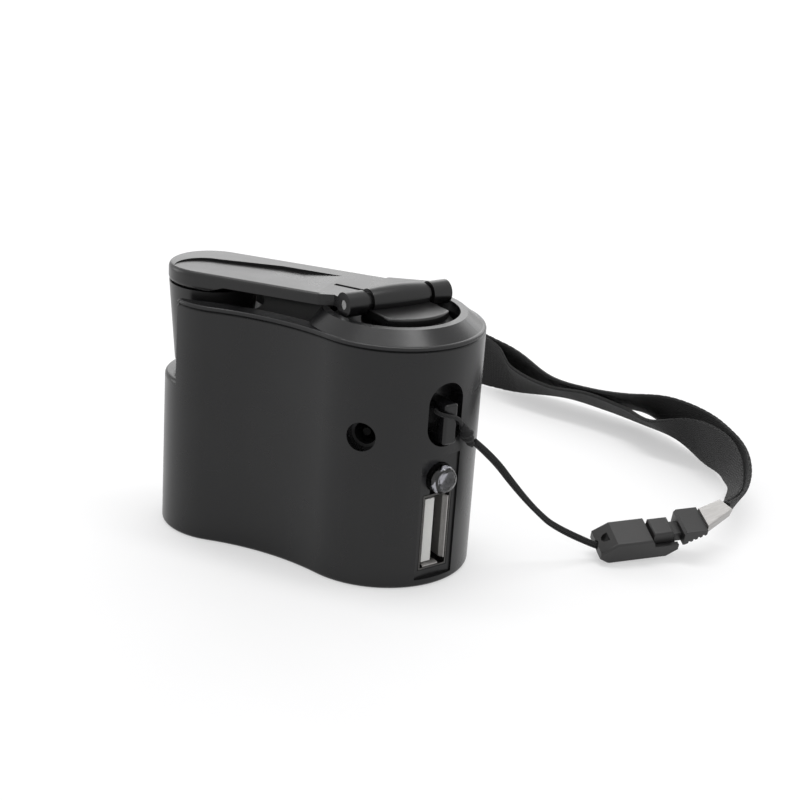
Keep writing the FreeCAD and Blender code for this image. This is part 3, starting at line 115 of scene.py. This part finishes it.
# each layer: share of the route, outward lean from upright in degrees, height of its middle,
# its place outward from the route, its width
OUTER_STATIONS = (
    (0.00, 10.0, 6.8, 0.36, 2.6),
    (0.06, 30.0, 5.8, -0.5, 3.5),
    (0.12, 33.0, 6.2, -1.1, 4.9),
    (0.18, 22.0, 6.3, -1.2, 7.2),
    (0.25, 0.0, 5.9, -0.5, 10.0),
    (0.33, -10.0, 5.9, 0.36, 11.0),
    (0.41, -24.0, 6.2, 0.5, 11.0),
    (0.49, -55.0, 6.3, 0.5, 11.0),
    (0.57, -57.0, 5.1, 0.6, 11.0),
    (0.65, -57.0, 5.2, 0.9, 11.0),
    (0.73, -30.0, 6.0, 2.0, 11.0),
    (0.78, -5.0, 6.1, 2.0, 11.0),
    (0.82, 6.0, 6.3, 2.9, 11.0),
    (0.90, 4.0, 6.0, 2.2, 11.0),
    (1.00, 0.0, 5.8, 1.3, 11.0),
)
INNER_STATIONS = (
    (0.00, 10.0, 6.8, -0.36, 2.6),
    (0.06, 60.0, 6.7, -1.5, 3.0),
    (0.12, 42.0, 6.5, -2.4, 4.0),
    (0.18, 20.0, 6.5, -2.6, 6.4),
    (0.25, -6.0, 6.2, -2.1, 9.4),
    (0.33, -25.0, 5.2, -1.9, 11.0),
    (0.41, -58.0, 4.4, -2.6, 11.0),
    (0.49, -57.0, 4.0, -0.6, 11.0),
    (0.57, -57.0, 4.4, -0.3, 11.0),
    (0.65, -62.0, 4.1, -0.4, 11.0),
    (0.73, -42.0, 4.4, -0.4, 10.6),
    (0.77, -15.0, 5.6, 0.9, 11.0),
    (0.82, 6.0, 6.2, 2.17, 11.0),
    (0.90, 4.0, 5.9, 1.48, 11.0),
    (1.00, 0.0, 5.8, -0.3, 11.0),
)

# ---- lighting ----
WORLD_LEVEL = 0.78
WHITE_LEVEL = 0.985             # the plain background, just under white
FLOOR_HALF = 3.0
FLOOR_GLOW = 0.45               # share of the floor that the camera sees as plain white
FLOOR_COLOURS = ((0.9, 0.9, 0.905), (0.92, 0.92, 0.925))
# each lamp: name, place, aim, size, power
LAMPS = (
    ("back_lamp", (-0.2, 0.85, 0.42), (0, 0, 0.03), (1.3, 0.5), 3.1),
    ("top_lamp", (0.0, 0.08, 0.75), (0, 0, 0.03), (0.6, 0.12), 2.0),
    ("left_lamp", (-0.75, -0.05, 0.25), (0, 0, 0.02), (0.3, 0.4), 0.9),
)

# ---- finishes ----
BLACK = (0.0045, 0.0045, 0.005)
SOFT_BLACK = (0.0075, 0.0075, 0.008)
PATCH_SCALE = 60.0
LINE_SCALE = 400.0
LINE_STRETCH = (1, 1, 30)
LINE_DEPTH = 0.000005
WEAVE_DEPTH = 0.00012
COVER_SMOOTH = 0.27
COVER_COARSE = 0.95
DECK_TOP = 39.3                 # just above the sunken deck
DECK_BLEND = 0.4
# the edges of these nodes are rounded by this much
ROUNDED = (("clasp_socket", 0.35), ("clasp_plug", 0.3), ("strap_crimp", 0.25))


# =============================================================================================
# materials
# =============================================================================================
def new_material(name):
    """A material with its tree and its Principled shader."""
    material = bpy.data.materials.new(name)
    material.use_nodes = True
    tree = material.node_tree
    return material, tree, tree.nodes["Principled BSDF"]


def noise(tree, scale, detail=3.0, distortion=0.0, stretch=None):
    """A noise texture in the object's own metres, optionally stretched along an axis."""
    coordinates = tree.nodes.new("ShaderNodeTexCoord")
    texture = tree.nodes.new("ShaderNodeTexNoise")
    texture.inputs["Scale"].default_value = scale
    texture.inputs["Detail"].default_value = detail
    texture.inputs["Distortion"].default_value = distortion
    source = coordinates.outputs["Object"]
    if stretch:
        mapping = tree.nodes.new("ShaderNodeMapping")
        mapping.inputs["Scale"].default_value = stretch
        tree.links.new(source, mapping.inputs["Vector"])
        source = mapping.outputs["Vector"]
    tree.links.new(source, texture.inputs["Vector"])
    return texture.outputs["Fac"]


def spread(tree, value, low, high, start=0.3, end=0.7):
    """Maps a texture's value onto a range."""
    mapped = tree.nodes.new("ShaderNodeMapRange")
    mapped.inputs["From Min"].default_value = start
    mapped.inputs["From Max"].default_value = end
    mapped.inputs["To Min"].default_value = low
    mapped.inputs["To Max"].default_value = high
    tree.links.new(value, mapped.inputs["Value"])
    return mapped.outputs["Result"]


def blend_colours(tree, value, first, second):
    """From the first colour, where the value is 0, to the second, where it is 1."""
    mix = tree.nodes.new("ShaderNodeMix")
    mix.data_type = "RGBA"
    mix.inputs["A"].default_value = (*first, 1)
    mix.inputs["B"].default_value = (*second, 1)
    tree.links.new(value, mix.inputs["Factor"])
    return mix.outputs["Result"]


def bump(tree, shader, height, distance):
    """Raises the surface in its shading by a height texture."""
    node = tree.nodes.new("ShaderNodeBump")
    node.inputs["Strength"].default_value = 1.0
    node.inputs["Distance"].default_value = distance
    tree.links.new(height, node.inputs["Height"])
    tree.links.new(node.outputs["Normal"], shader.inputs["Normal"])


def moulded(name, dark, light, roughness, grain=9000.0, depth=0.000004, level=0.5):
    """Satin moulded plastic: a fine grain, slow patches in its colour and its gloss."""
    material, tree, shader = new_material(name)
    patches = noise(tree, PATCH_SCALE, 4.0, 0.4)
    fine = noise(tree, grain, 2.0)
    colour = blend_colours(tree, spread(tree, patches, 0, 1), dark, light)
    tree.links.new(colour, shader.inputs["Base Color"])
    gloss = spread(tree, patches, roughness - 0.04, roughness + 0.05)
    tree.links.new(gloss, shader.inputs["Roughness"])
    shader.inputs["Specular IOR Level"].default_value = level
    bump(tree, shader, fine, depth)
    return material


def cover_finish(name):
    """Satin plastic whose sunken deck, low on the piece, has a coarse matt spark-eroded finish."""
    material = moulded(name, BLACK, SOFT_BLACK, COVER_SMOOTH, level=0.4)
    tree = material.node_tree
    shader = tree.nodes["Principled BSDF"]
    coordinates = tree.nodes.new("ShaderNodeTexCoord")
    separate = tree.nodes.new("ShaderNodeSeparateXYZ")
    tree.links.new(coordinates.outputs["Object"], separate.inputs["Vector"])
    low, high = DECK_TOP * MM, (DECK_TOP + DECK_BLEND) * MM
    gloss = spread(tree, separate.outputs["Z"], COVER_COARSE, COVER_SMOOTH, low, high)
    tree.links.new(gloss, shader.inputs["Roughness"])
    return material


def metal(name, dark, light, roughness):
    """Drawn or turned metal with fine lines along one axis."""
    material, tree, shader = new_material(name)
    lines = noise(tree, LINE_SCALE, 4.0, 0.0, LINE_STRETCH)
    colour = blend_colours(tree, spread(tree, lines, 0, 1), dark, light)
    tree.links.new(colour, shader.inputs["Base Color"])
    tree.links.new(spread(tree, lines, roughness - 0.06, roughness + 0.08), shader.inputs["Roughness"])
    shader.inputs["Metallic"].default_value = 1.0
    bump(tree, shader, lines, LINE_DEPTH)
    return material


def woven(name, dark, light, across, along):
    """Plain weave from two crossed waves over the piece's own UV map, in millimetres."""
    material, tree, shader = new_material(name)
    coordinates = tree.nodes.new("ShaderNodeTexCoord")
    heights = []
    for axis, pitch in ((0, along), (1, across)):
        separate = tree.nodes.new("ShaderNodeSeparateXYZ")
        tree.links.new(coordinates.outputs["UV"], separate.inputs["Vector"])
        scaled = tree.nodes.new("ShaderNodeMath")
        scaled.operation = "MULTIPLY"
        scaled.inputs[1].default_value = 2 * math.pi / pitch
        tree.links.new(separate.outputs[axis], scaled.inputs[0])
        wave = tree.nodes.new("ShaderNodeMath")
        wave.operation = "SINE"
        tree.links.new(scaled.outputs["Value"], wave.inputs[0])
        heights.append(wave.outputs["Value"])
    product = tree.nodes.new("ShaderNodeMath")
    product.operation = "MULTIPLY"
    tree.links.new(heights[0], product.inputs[0])
    tree.links.new(heights[1], product.inputs[1])
    weave = spread(tree, product.outputs["Value"], 0, 1, -1, 1)
    colour = blend_colours(tree, weave, dark, light)
    tree.links.new(colour, shader.inputs["Base Color"])
    shader.inputs["Roughness"].default_value = 0.75
    shader.inputs["Specular IOR Level"].default_value = 0.35
    shader.inputs["Sheen Weight"].default_value = 0.06
    shader.inputs["Sheen Roughness"].default_value = 0.4
    bump(tree, shader, weave, WEAVE_DEPTH)
    return material


def clear_lens(name):
    """Clear epoxy with a grey tint, a painted shade for the dark inside of the lamp, and a faint
    ripple in its gloss.
    """
    material, tree, shader = new_material(name)
    ripple = noise(tree, 150.0, 1.0)
    # painted shade: the grey tint darkens the lens for the shade inside the lamp
    shader.inputs["Base Color"].default_value = (0.3, 0.3, 0.33, 1)
    shader.inputs["Transmission Weight"].default_value = 1.0
    shader.inputs["IOR"].default_value = 1.5
    tree.links.new(spread(tree, ripple, 0.01, 0.04), shader.inputs["Roughness"])
    return material


finishes = {
    "housing_plastic": moulded("housing_plastic", BLACK, SOFT_BLACK, 0.27, level=0.36),
    "crank_plastic": moulded("crank_plastic", BLACK, (0.009, 0.0088, 0.0088), 0.29, level=0.42),
    "dark_plastic": moulded("dark_plastic", BLACK, SOFT_BLACK, 0.5),
    "cap_plastic": moulded("cap_plastic", (0.6, 0.57, 0.48), (0.7, 0.67, 0.58), 0.45),
    "gear_plastic": moulded("gear_plastic", (0.74, 0.72, 0.66), (0.82, 0.8, 0.75), 0.35),
    "socket_plastic": moulded("socket_plastic", (0.5, 0.5, 0.48), (0.6, 0.6, 0.58), 0.45),
    "clasp_plastic": moulded(
        "clasp_plastic", (0.008, 0.0078, 0.0078), (0.02, 0.019, 0.019), 0.42, 5000.0, 0.00001
    ),
    "board": moulded("board", (0.01, 0.07, 0.025), (0.015, 0.1, 0.035), 0.3),
    "capacitor_sleeve": moulded("capacitor_sleeve", (0.01, 0.01, 0.02), (0.02, 0.02, 0.03), 0.3),
    "steel": metal("steel", (0.42, 0.42, 0.42), (0.6, 0.6, 0.6), 0.34),
    "bright_steel": metal("bright_steel", (0.36, 0.35, 0.34), (0.46, 0.45, 0.44), 0.46),
    "zinc_steel": metal("zinc_steel", (0.5, 0.51, 0.5), (0.66, 0.67, 0.66), 0.36),
    "magnet": moulded("magnet", (0.04, 0.04, 0.042), (0.07, 0.07, 0.072), 0.6),
    "brass": metal("brass", (0.55, 0.4, 0.16), (0.7, 0.54, 0.26), 0.3),
    "copper": metal("copper", (0.55, 0.24, 0.11), (0.7, 0.33, 0.16), 0.35),
    "gold_contacts": metal("gold_contacts", (0.66, 0.48, 0.2), (0.8, 0.62, 0.3), 0.25),
    "clear_lens": clear_lens("clear_lens"),
    "cord_textile": woven("cord_textile", (0.003, 0.003, 0.0032), (0.012, 0.012, 0.0125), 0.35, 0.5),
    "strap_textile": woven("strap_textile", (0.004, 0.004, 0.0042), (0.013, 0.0128, 0.013), 0.45, 0.7),
}

# nodes whose finish differs from their slot's: a pin deep in its hole, painted near black as shade,
# the socket's shell, painted dark for the dark inside that it mirrors, and the cover with its coarse
# deck
own_finishes = {
    # painted shade: the pin's metal is painted near black for the shade deep in its hole
    "jack_pin": metal("pin_painted_shade", (0.012, 0.012, 0.012), (0.02, 0.02, 0.02), 0.7),
    # painted reflection: the shell's steel is painted dark for the dark inside of the socket that it
    # mirrors
    "usb_shell": metal("socket_steel_painted_dark", (0.05, 0.049, 0.047), (0.11, 0.107, 0.104), 0.4),
    "top_cover": cover_finish("cover_plastic"),
}

for entry in frame["record"]["subparts"]:
    finish = own_finishes.get(entry["node"], finishes[entry["material_slot"]])
    for holder in nodes[entry["node"]].material_slots:
        holder.material = finish

for name, rounding in ROUNDED:
    weld = nodes[name].modifiers.new("weld", "WELD")
    weld.merge_threshold = 0.002 * MM
    soft = nodes[name].modifiers.new("soft_edges", "BEVEL")
    soft.width = rounding * MM
    soft.segments = 3
    soft.limit_method = "ANGLE"
    soft.angle_limit = math.radians(35)


# =============================================================================================
# stage: camera, world, floor and lamps
# =============================================================================================
def make_camera():
    """The camera at the viewing angle, turned a little about its own line of sight."""
    data = bpy.data.cameras.new("camera")
    data.lens = CAMERA_LENS
    camera = bpy.data.objects.new("camera", data)
    bpy.context.scene.collection.objects.link(camera)
    look = (CAMERA_AIM - CAMERA_PLACE).to_track_quat("-Z", "Y")
    camera.rotation_mode = "QUATERNION"
    camera.rotation_quaternion = look @ Quaternion((0, 0, 1), CAMERA_ROLL)
    camera.location = CAMERA_PLACE
    bpy.context.scene.camera = camera


def background_rays(tree):
    """1 for camera, glossy and clear rays, which see the plain white background; else 0."""
    path = tree.nodes.new("ShaderNodeLightPath")
    seen = path.outputs["Is Camera Ray"]
    for ray in ("Is Glossy Ray", "Is Transmission Ray"):
        larger = tree.nodes.new("ShaderNodeMath")
        larger.operation = "MAXIMUM"
        tree.links.new(seen, larger.inputs[0])
        tree.links.new(path.outputs[ray], larger.inputs[1])
        seen = larger.outputs["Value"]
    return seen


def make_world():
    """A white surround for the camera, glossy and clear rays, and a plainer light for the rest."""
    world = bpy.data.worlds.new("studio")
    bpy.context.scene.world = world
    world.use_nodes = True
    tree = world.node_tree
    background = tree.nodes["Background"]
    background.inputs["Color"].default_value = (1, 1, 1, 1)
    level = spread(tree, background_rays(tree), WORLD_LEVEL, WHITE_LEVEL, 0, 1)
    tree.links.new(level, background.inputs["Strength"])


def make_floor():
    """A pale floor that takes the shadows, part of it seen as the plain white background."""
    mesh = bpy.data.meshes.new("floor")
    half = FLOOR_HALF
    corners = [(-half, -half, 0), (half, -half, 0), (half, half, 0), (-half, half, 0)]
    mesh.from_pydata(corners, [], [(0, 1, 2, 3)])
    floor = bpy.data.objects.new("floor", mesh)
    bpy.context.scene.collection.objects.link(floor)
    material, tree, shader = new_material("floor")
    grain = noise(tree, 30.0, 3.0)
    colour = blend_colours(tree, spread(tree, grain, 0, 1), *FLOOR_COLOURS)
    tree.links.new(colour, shader.inputs["Base Color"])
    shader.inputs["Roughness"].default_value = 0.9
    shader.inputs["Specular IOR Level"].default_value = 0.1
    glow = tree.nodes.new("ShaderNodeEmission")
    glow.inputs["Color"].default_value = (1, 1, 1, 1)
    glow.inputs["Strength"].default_value = WHITE_LEVEL
    both = tree.nodes.new("ShaderNodeMixShader")
    share = spread(tree, background_rays(tree), 0, FLOOR_GLOW, 0, 1)
    tree.links.new(share, both.inputs["Fac"])
    tree.links.new(shader.outputs["BSDF"], both.inputs[1])
    tree.links.new(glow.outputs["Emission"], both.inputs[2])
    tree.links.new(both.outputs["Shader"], tree.nodes["Material Output"].inputs["Surface"])
    mesh.materials.append(material)


def make_lamp(name, place, aim, size, power):
    """A soft rectangular lamp."""
    data = bpy.data.lights.new(name, "AREA")
    data.shape = "RECTANGLE"
    data.size, data.size_y = size
    data.energy = power
    lamp = bpy.data.objects.new(name, data)
    bpy.context.scene.collection.objects.link(lamp)
    lamp.location = place
    lamp.rotation_mode = "QUATERNION"
    lamp.rotation_quaternion = (Vector(aim) - Vector(place)).to_track_quat("-Z", "Y")


make_camera()
make_world()
make_floor()
for lamp_values in LAMPS:
    make_lamp(*lamp_values)
bpy.context.scene.view_settings.view_transform = "Standard"


# =============================================================================================
# strap
# =============================================================================================
def in_port(point):
    """A point of the port's own frame, turned into the part's."""
    return Matrix.Rotation(PORT_ANGLE, 3, "Z") @ Vector(point)


def smooth_line(name, points, steps=16):
    """Points along the smooth spline that has the given points, in millimetres, as its controls."""
    curve = bpy.data.curves.new(name, "CURVE")
    curve.dimensions = "3D"
    spline = curve.splines.new("NURBS")
    spline.points.add(len(points) - 1)
    for control, point in zip(spline.points, points):
        control.co = (*(Vector(point) * MM), 1)
    spline.order_u = 3
    spline.use_endpoint_u = True
    spline.resolution_u = steps
    holder = bpy.data.objects.new(name, curve)
    mesh = bpy.data.meshes.new_from_object(holder)
    line = [vertex.co.copy() for vertex in mesh.vertices]
    bpy.data.meshes.remove(mesh)
    bpy.data.objects.remove(holder)
    bpy.data.curves.remove(curve)
    return line


def along(line):
    """Each point's share of the line's length, and the length."""
    runs = [0.0]
    for a, b in zip(line, line[1:]):
        runs.append(runs[-1] + (b - a).length)
    return [run / runs[-1] for run in runs], runs[-1]


def directions(line):
    """The way ahead at each point of the line."""
    ends = [line[0]] + line + [line[-1]]
    return [(after - before).normalized() for before, after in zip(ends, ends[2:])]


def between(stations, share):
    """The stations' values at a share of the route, on smooth curves through them."""
    last = len(stations) - 1
    i = max(k for k in range(last) if stations[k][0] <= share)
    first, second = stations[i], stations[i + 1]
    before, after = stations[max(i - 1, 0)], stations[min(i + 2, last)]
    run = second[0] - first[0]
    t = (share - first[0]) / run
    values = []
    for a0, a, b, b1 in zip(before[1:], first[1:], second[1:], after[1:]):
        start = (b - a0) / (second[0] - before[0]) * run
        end = (b1 - a) / (after[0] - first[0]) * run
        ease = t * t * (3 - 2 * t)
        values.append(a + (b - a) * ease + start * t * (1 - t) ** 2 - end * t * t * (1 - t))
    return values


def new_piece(name, mesh, finish, smooth=True):
    """A visible piece that is held with the housing."""
    piece = bpy.data.objects.new(name, mesh)
    bpy.context.scene.collection.objects.link(piece)
    mesh.materials.append(finishes[finish])
    for face in mesh.polygons:
        face.use_smooth = smooth
    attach(piece, "housing")
    return piece


def swept(name, rings):
    """A closed mesh through rings of points, with a UV map in millimetres along and round."""
    mesh = bpy.data.meshes.new(name)
    built = bmesh.new()
    layer = built.loops.layers.uv.new("UVMap")
    rows = [[built.verts.new(point) for point in ring] for ring in rings]
    count = len(rings[0])
    run = 0.0
    for first, second, before, after in zip(rows, rows[1:], rings, rings[1:]):
        step = (after[0] - before[0]).length / MM
        turn = 0.0
        for i in range(count):
            j = (i + 1) % count
            face = built.faces.new((first[i], first[j], second[j], second[i]))
            side = (before[j] - before[i]).length / MM
            places = ((run, turn), (run, turn + side), (run + step, turn + side), (run + step, turn))
            for loop, place in zip(face.loops, places):
                loop[layer].uv = place
            turn += side
        run += step
    built.faces.new(list(reversed(rows[0])))
    built.faces.new(rows[-1])
    bmesh.ops.recalc_face_normals(built, faces=built.faces)
    built.to_mesh(mesh)
    built.free()
    return mesh


def cross_directions(ahead):
    """Two directions at right angles to the way ahead, the first of them level."""
    across = ahead.cross(Vector((0, 0, 1))).normalized()
    return across, across.cross(ahead)


def round_ring(centre, ahead, radius):
    """A ring of points round a strand's middle line."""
    across, other = cross_directions(ahead)
    return [
        centre + (across * math.cos(a) + other * math.sin(a)) * radius
        for a in (2 * math.pi * k / STRAND_SIDES for k in range(STRAND_SIDES))
    ]


def join(name, pieces):
    """One mesh from several."""
    built = bmesh.new()
    for mesh in pieces:
        built.from_mesh(mesh)
        bpy.data.meshes.remove(mesh)
    joined = bpy.data.meshes.new(name)
    built.to_mesh(joined)
    built.free()
    return joined


def make_cord(held):
    """Two strands laid side by side; the held pieces passed in are not used."""
    line = smooth_line("cord_line", CORD_ROUTE)
    shares, length = along(line)
    ahead = directions(line)
    apart = (CORD_WIDTH - STRAND_WIDTH) / 2 * MM
    strands = []
    for start in (0.0, math.pi):
        rings = []
        for point, share, way in zip(line, shares, ahead):
            turn = start + STRAND_LAY + STRAND_SWAY * math.sin(STRAND_SWAY_RATE * share)
            across, other = cross_directions(way)
            offset = (across * math.cos(turn) + other * math.sin(turn)) * apart
            rings.append(round_ring(point + offset, way, STRAND_WIDTH / 2 * MM))
        strands.append(swept("strand", rings))
    cord = new_piece("cord_strands", join("cord_strands", strands), "cord_textile")
    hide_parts("lanyard_cord")


def make_loop():
    """The small loop of string that holds the cord to the anchor's bar."""
    line = smooth_line("loop_line", [in_port(point) for point in LOOP_ROUTE], LOOP_STEPS)
    rings = [
        round_ring(point, way, LOOP_STRAND / 2 * MM)
        for point, way in zip(line, directions(line))
    ]
    loop = new_piece("loop_strand", swept("loop_strand", rings), "cord_textile")
    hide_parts("lanyard_loop")
    return loop


def make_knot():
    """A long overhand knot: a slim two-lobed body with the string's wraps raised on it."""
    start, end = Vector(KNOT_START) * MM, Vector(KNOT_END) * MM
    across, other = cross_directions((end - start).normalized())
    rings = []
    for step in range(KNOT_STEPS + 1):
        share = step / KNOT_STEPS
        lobes = math.sin(math.pi * share) ** 0.5 * (0.9 + 0.1 * math.cos(4 * math.pi * share))
        ring = []
        for k in range(KNOT_SIDES):
            angle = 2 * math.pi * k / KNOT_SIDES
            wrap = 1 + 0.1 * math.cos(2 * math.pi * KNOT_WRAPS * share - angle)
            radius = KNOT_WIDTH / 2 * MM * max(lobes * wrap, 0.25)
            ring.append(
                start + (end - start) * share
                + (across * math.cos(angle) + other * math.sin(angle)) * radius
            )
        rings.append(ring)
    knot = new_piece("knot_wraps", swept("knot_wraps", rings), "cord_textile")
    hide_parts("lanyard_knot")
    return knot


def make_socket_lips():
    """The flared lips inside the socket's mouth: a long one at its side, a short one below."""
    side_lip = []
    for z in SIDE_LIP_Z:
        bent = [Vector((radial, side, z)) for radial, side in LIP_BEND]
        side_lip.append(bent + [point + Vector((0, LIP_METAL, 0)) for point in reversed(bent)])
    low_lip = []
    for side in LOW_LIP_SIDE:
        bent = [Vector((radial, side, z)) for radial, z in LOW_LIP_BEND]
        low_lip.append(bent + [point - Vector((0, 0, LIP_METAL)) for point in reversed(bent)])
    lips = [
        swept("lip", [[in_port(point) * MM for point in ring] for ring in rings])
        for rings in (side_lip, low_lip)
    ]
    new_piece("socket_lips", join("socket_lips", lips), "bright_steel", smooth=False)


def layer_frames(line, shares, ahead, stations, length):
    """A layer's centre, width direction, face direction and both half widths, point by point."""
    frames = []
    up = Vector((0, 0, 1))
    for point, share, way in zip(line, shares, ahead):
        lean, height, outward, width = between(stations, share)
        level = Vector((way.x, way.y, 0)).normalized()
        out = Vector((level.y, -level.x, 0))
        tilt = math.radians(lean)
        across = up * math.cos(tilt) + out * math.sin(tilt)
        face = out * math.cos(tilt) - up * math.sin(tilt)
        centre = Vector((point.x, point.y, height * MM)) + out * outward * MM
        run = share * length / MM
        edge = width / 2 - LAYER_THICKNESS / 2
        upper = edge + SELVEDGE_WAVE * math.sin(run * 5.1) * math.sin(run * 1.7)
        lower = edge + SELVEDGE_WAVE * math.sin(run * 4.7 + 1) * math.sin(run * 1.3)
        frames.append((centre, across, face, upper, lower))
    return frames


def make_ribbon():
    """One woven band: out along the route, folded over, and back inside itself to the crimp."""
    line = smooth_line("ribbon_line", RIBBON_ROUTE, RIBBON_STEPS)
    shares, length = along(line)
    ahead = directions(line)
    outer = layer_frames(line, shares, ahead, OUTER_STATIONS, length)
    inner = layer_frames(line, shares, ahead, INNER_STATIONS, length)
    first, last = outer[-1], inner[-1]
    middle = (first[0] + last[0]) / 2
    radius = (first[0] - last[0]).length / 2
    fold = []
    for step in range(1, FOLD_STEPS):
        angle = math.pi * step / FOLD_STEPS
        face = first[2] * math.cos(angle) + ahead[-1] * math.sin(angle)
        fold.append((middle + face * radius, first[1], face, *first[3:]))
    back = [(centre, across, -face, upper, lower)
            for centre, across, face, upper, lower in reversed(inner)]
    half = LAYER_THICKNESS / 2
    rings = []
    for centre, across, face, upper, lower in outer + fold + back:
        outline = [(-lower, -half), (upper, -half), (upper + half * 0.7, 0), (upper, half),
                   (-lower, half), (-lower - half * 0.7, 0)]
        rings.append([centre + (across * a + face * b) * MM for a, b in outline])
    mesh = swept("ribbon_layers", rings)
    ribbon = new_piece("ribbon_layers", mesh, "strap_textile", smooth=False)
    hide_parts("strap_ribbon")


make_cord([make_loop(), make_knot()])
make_ribbon()
make_socket_lips()
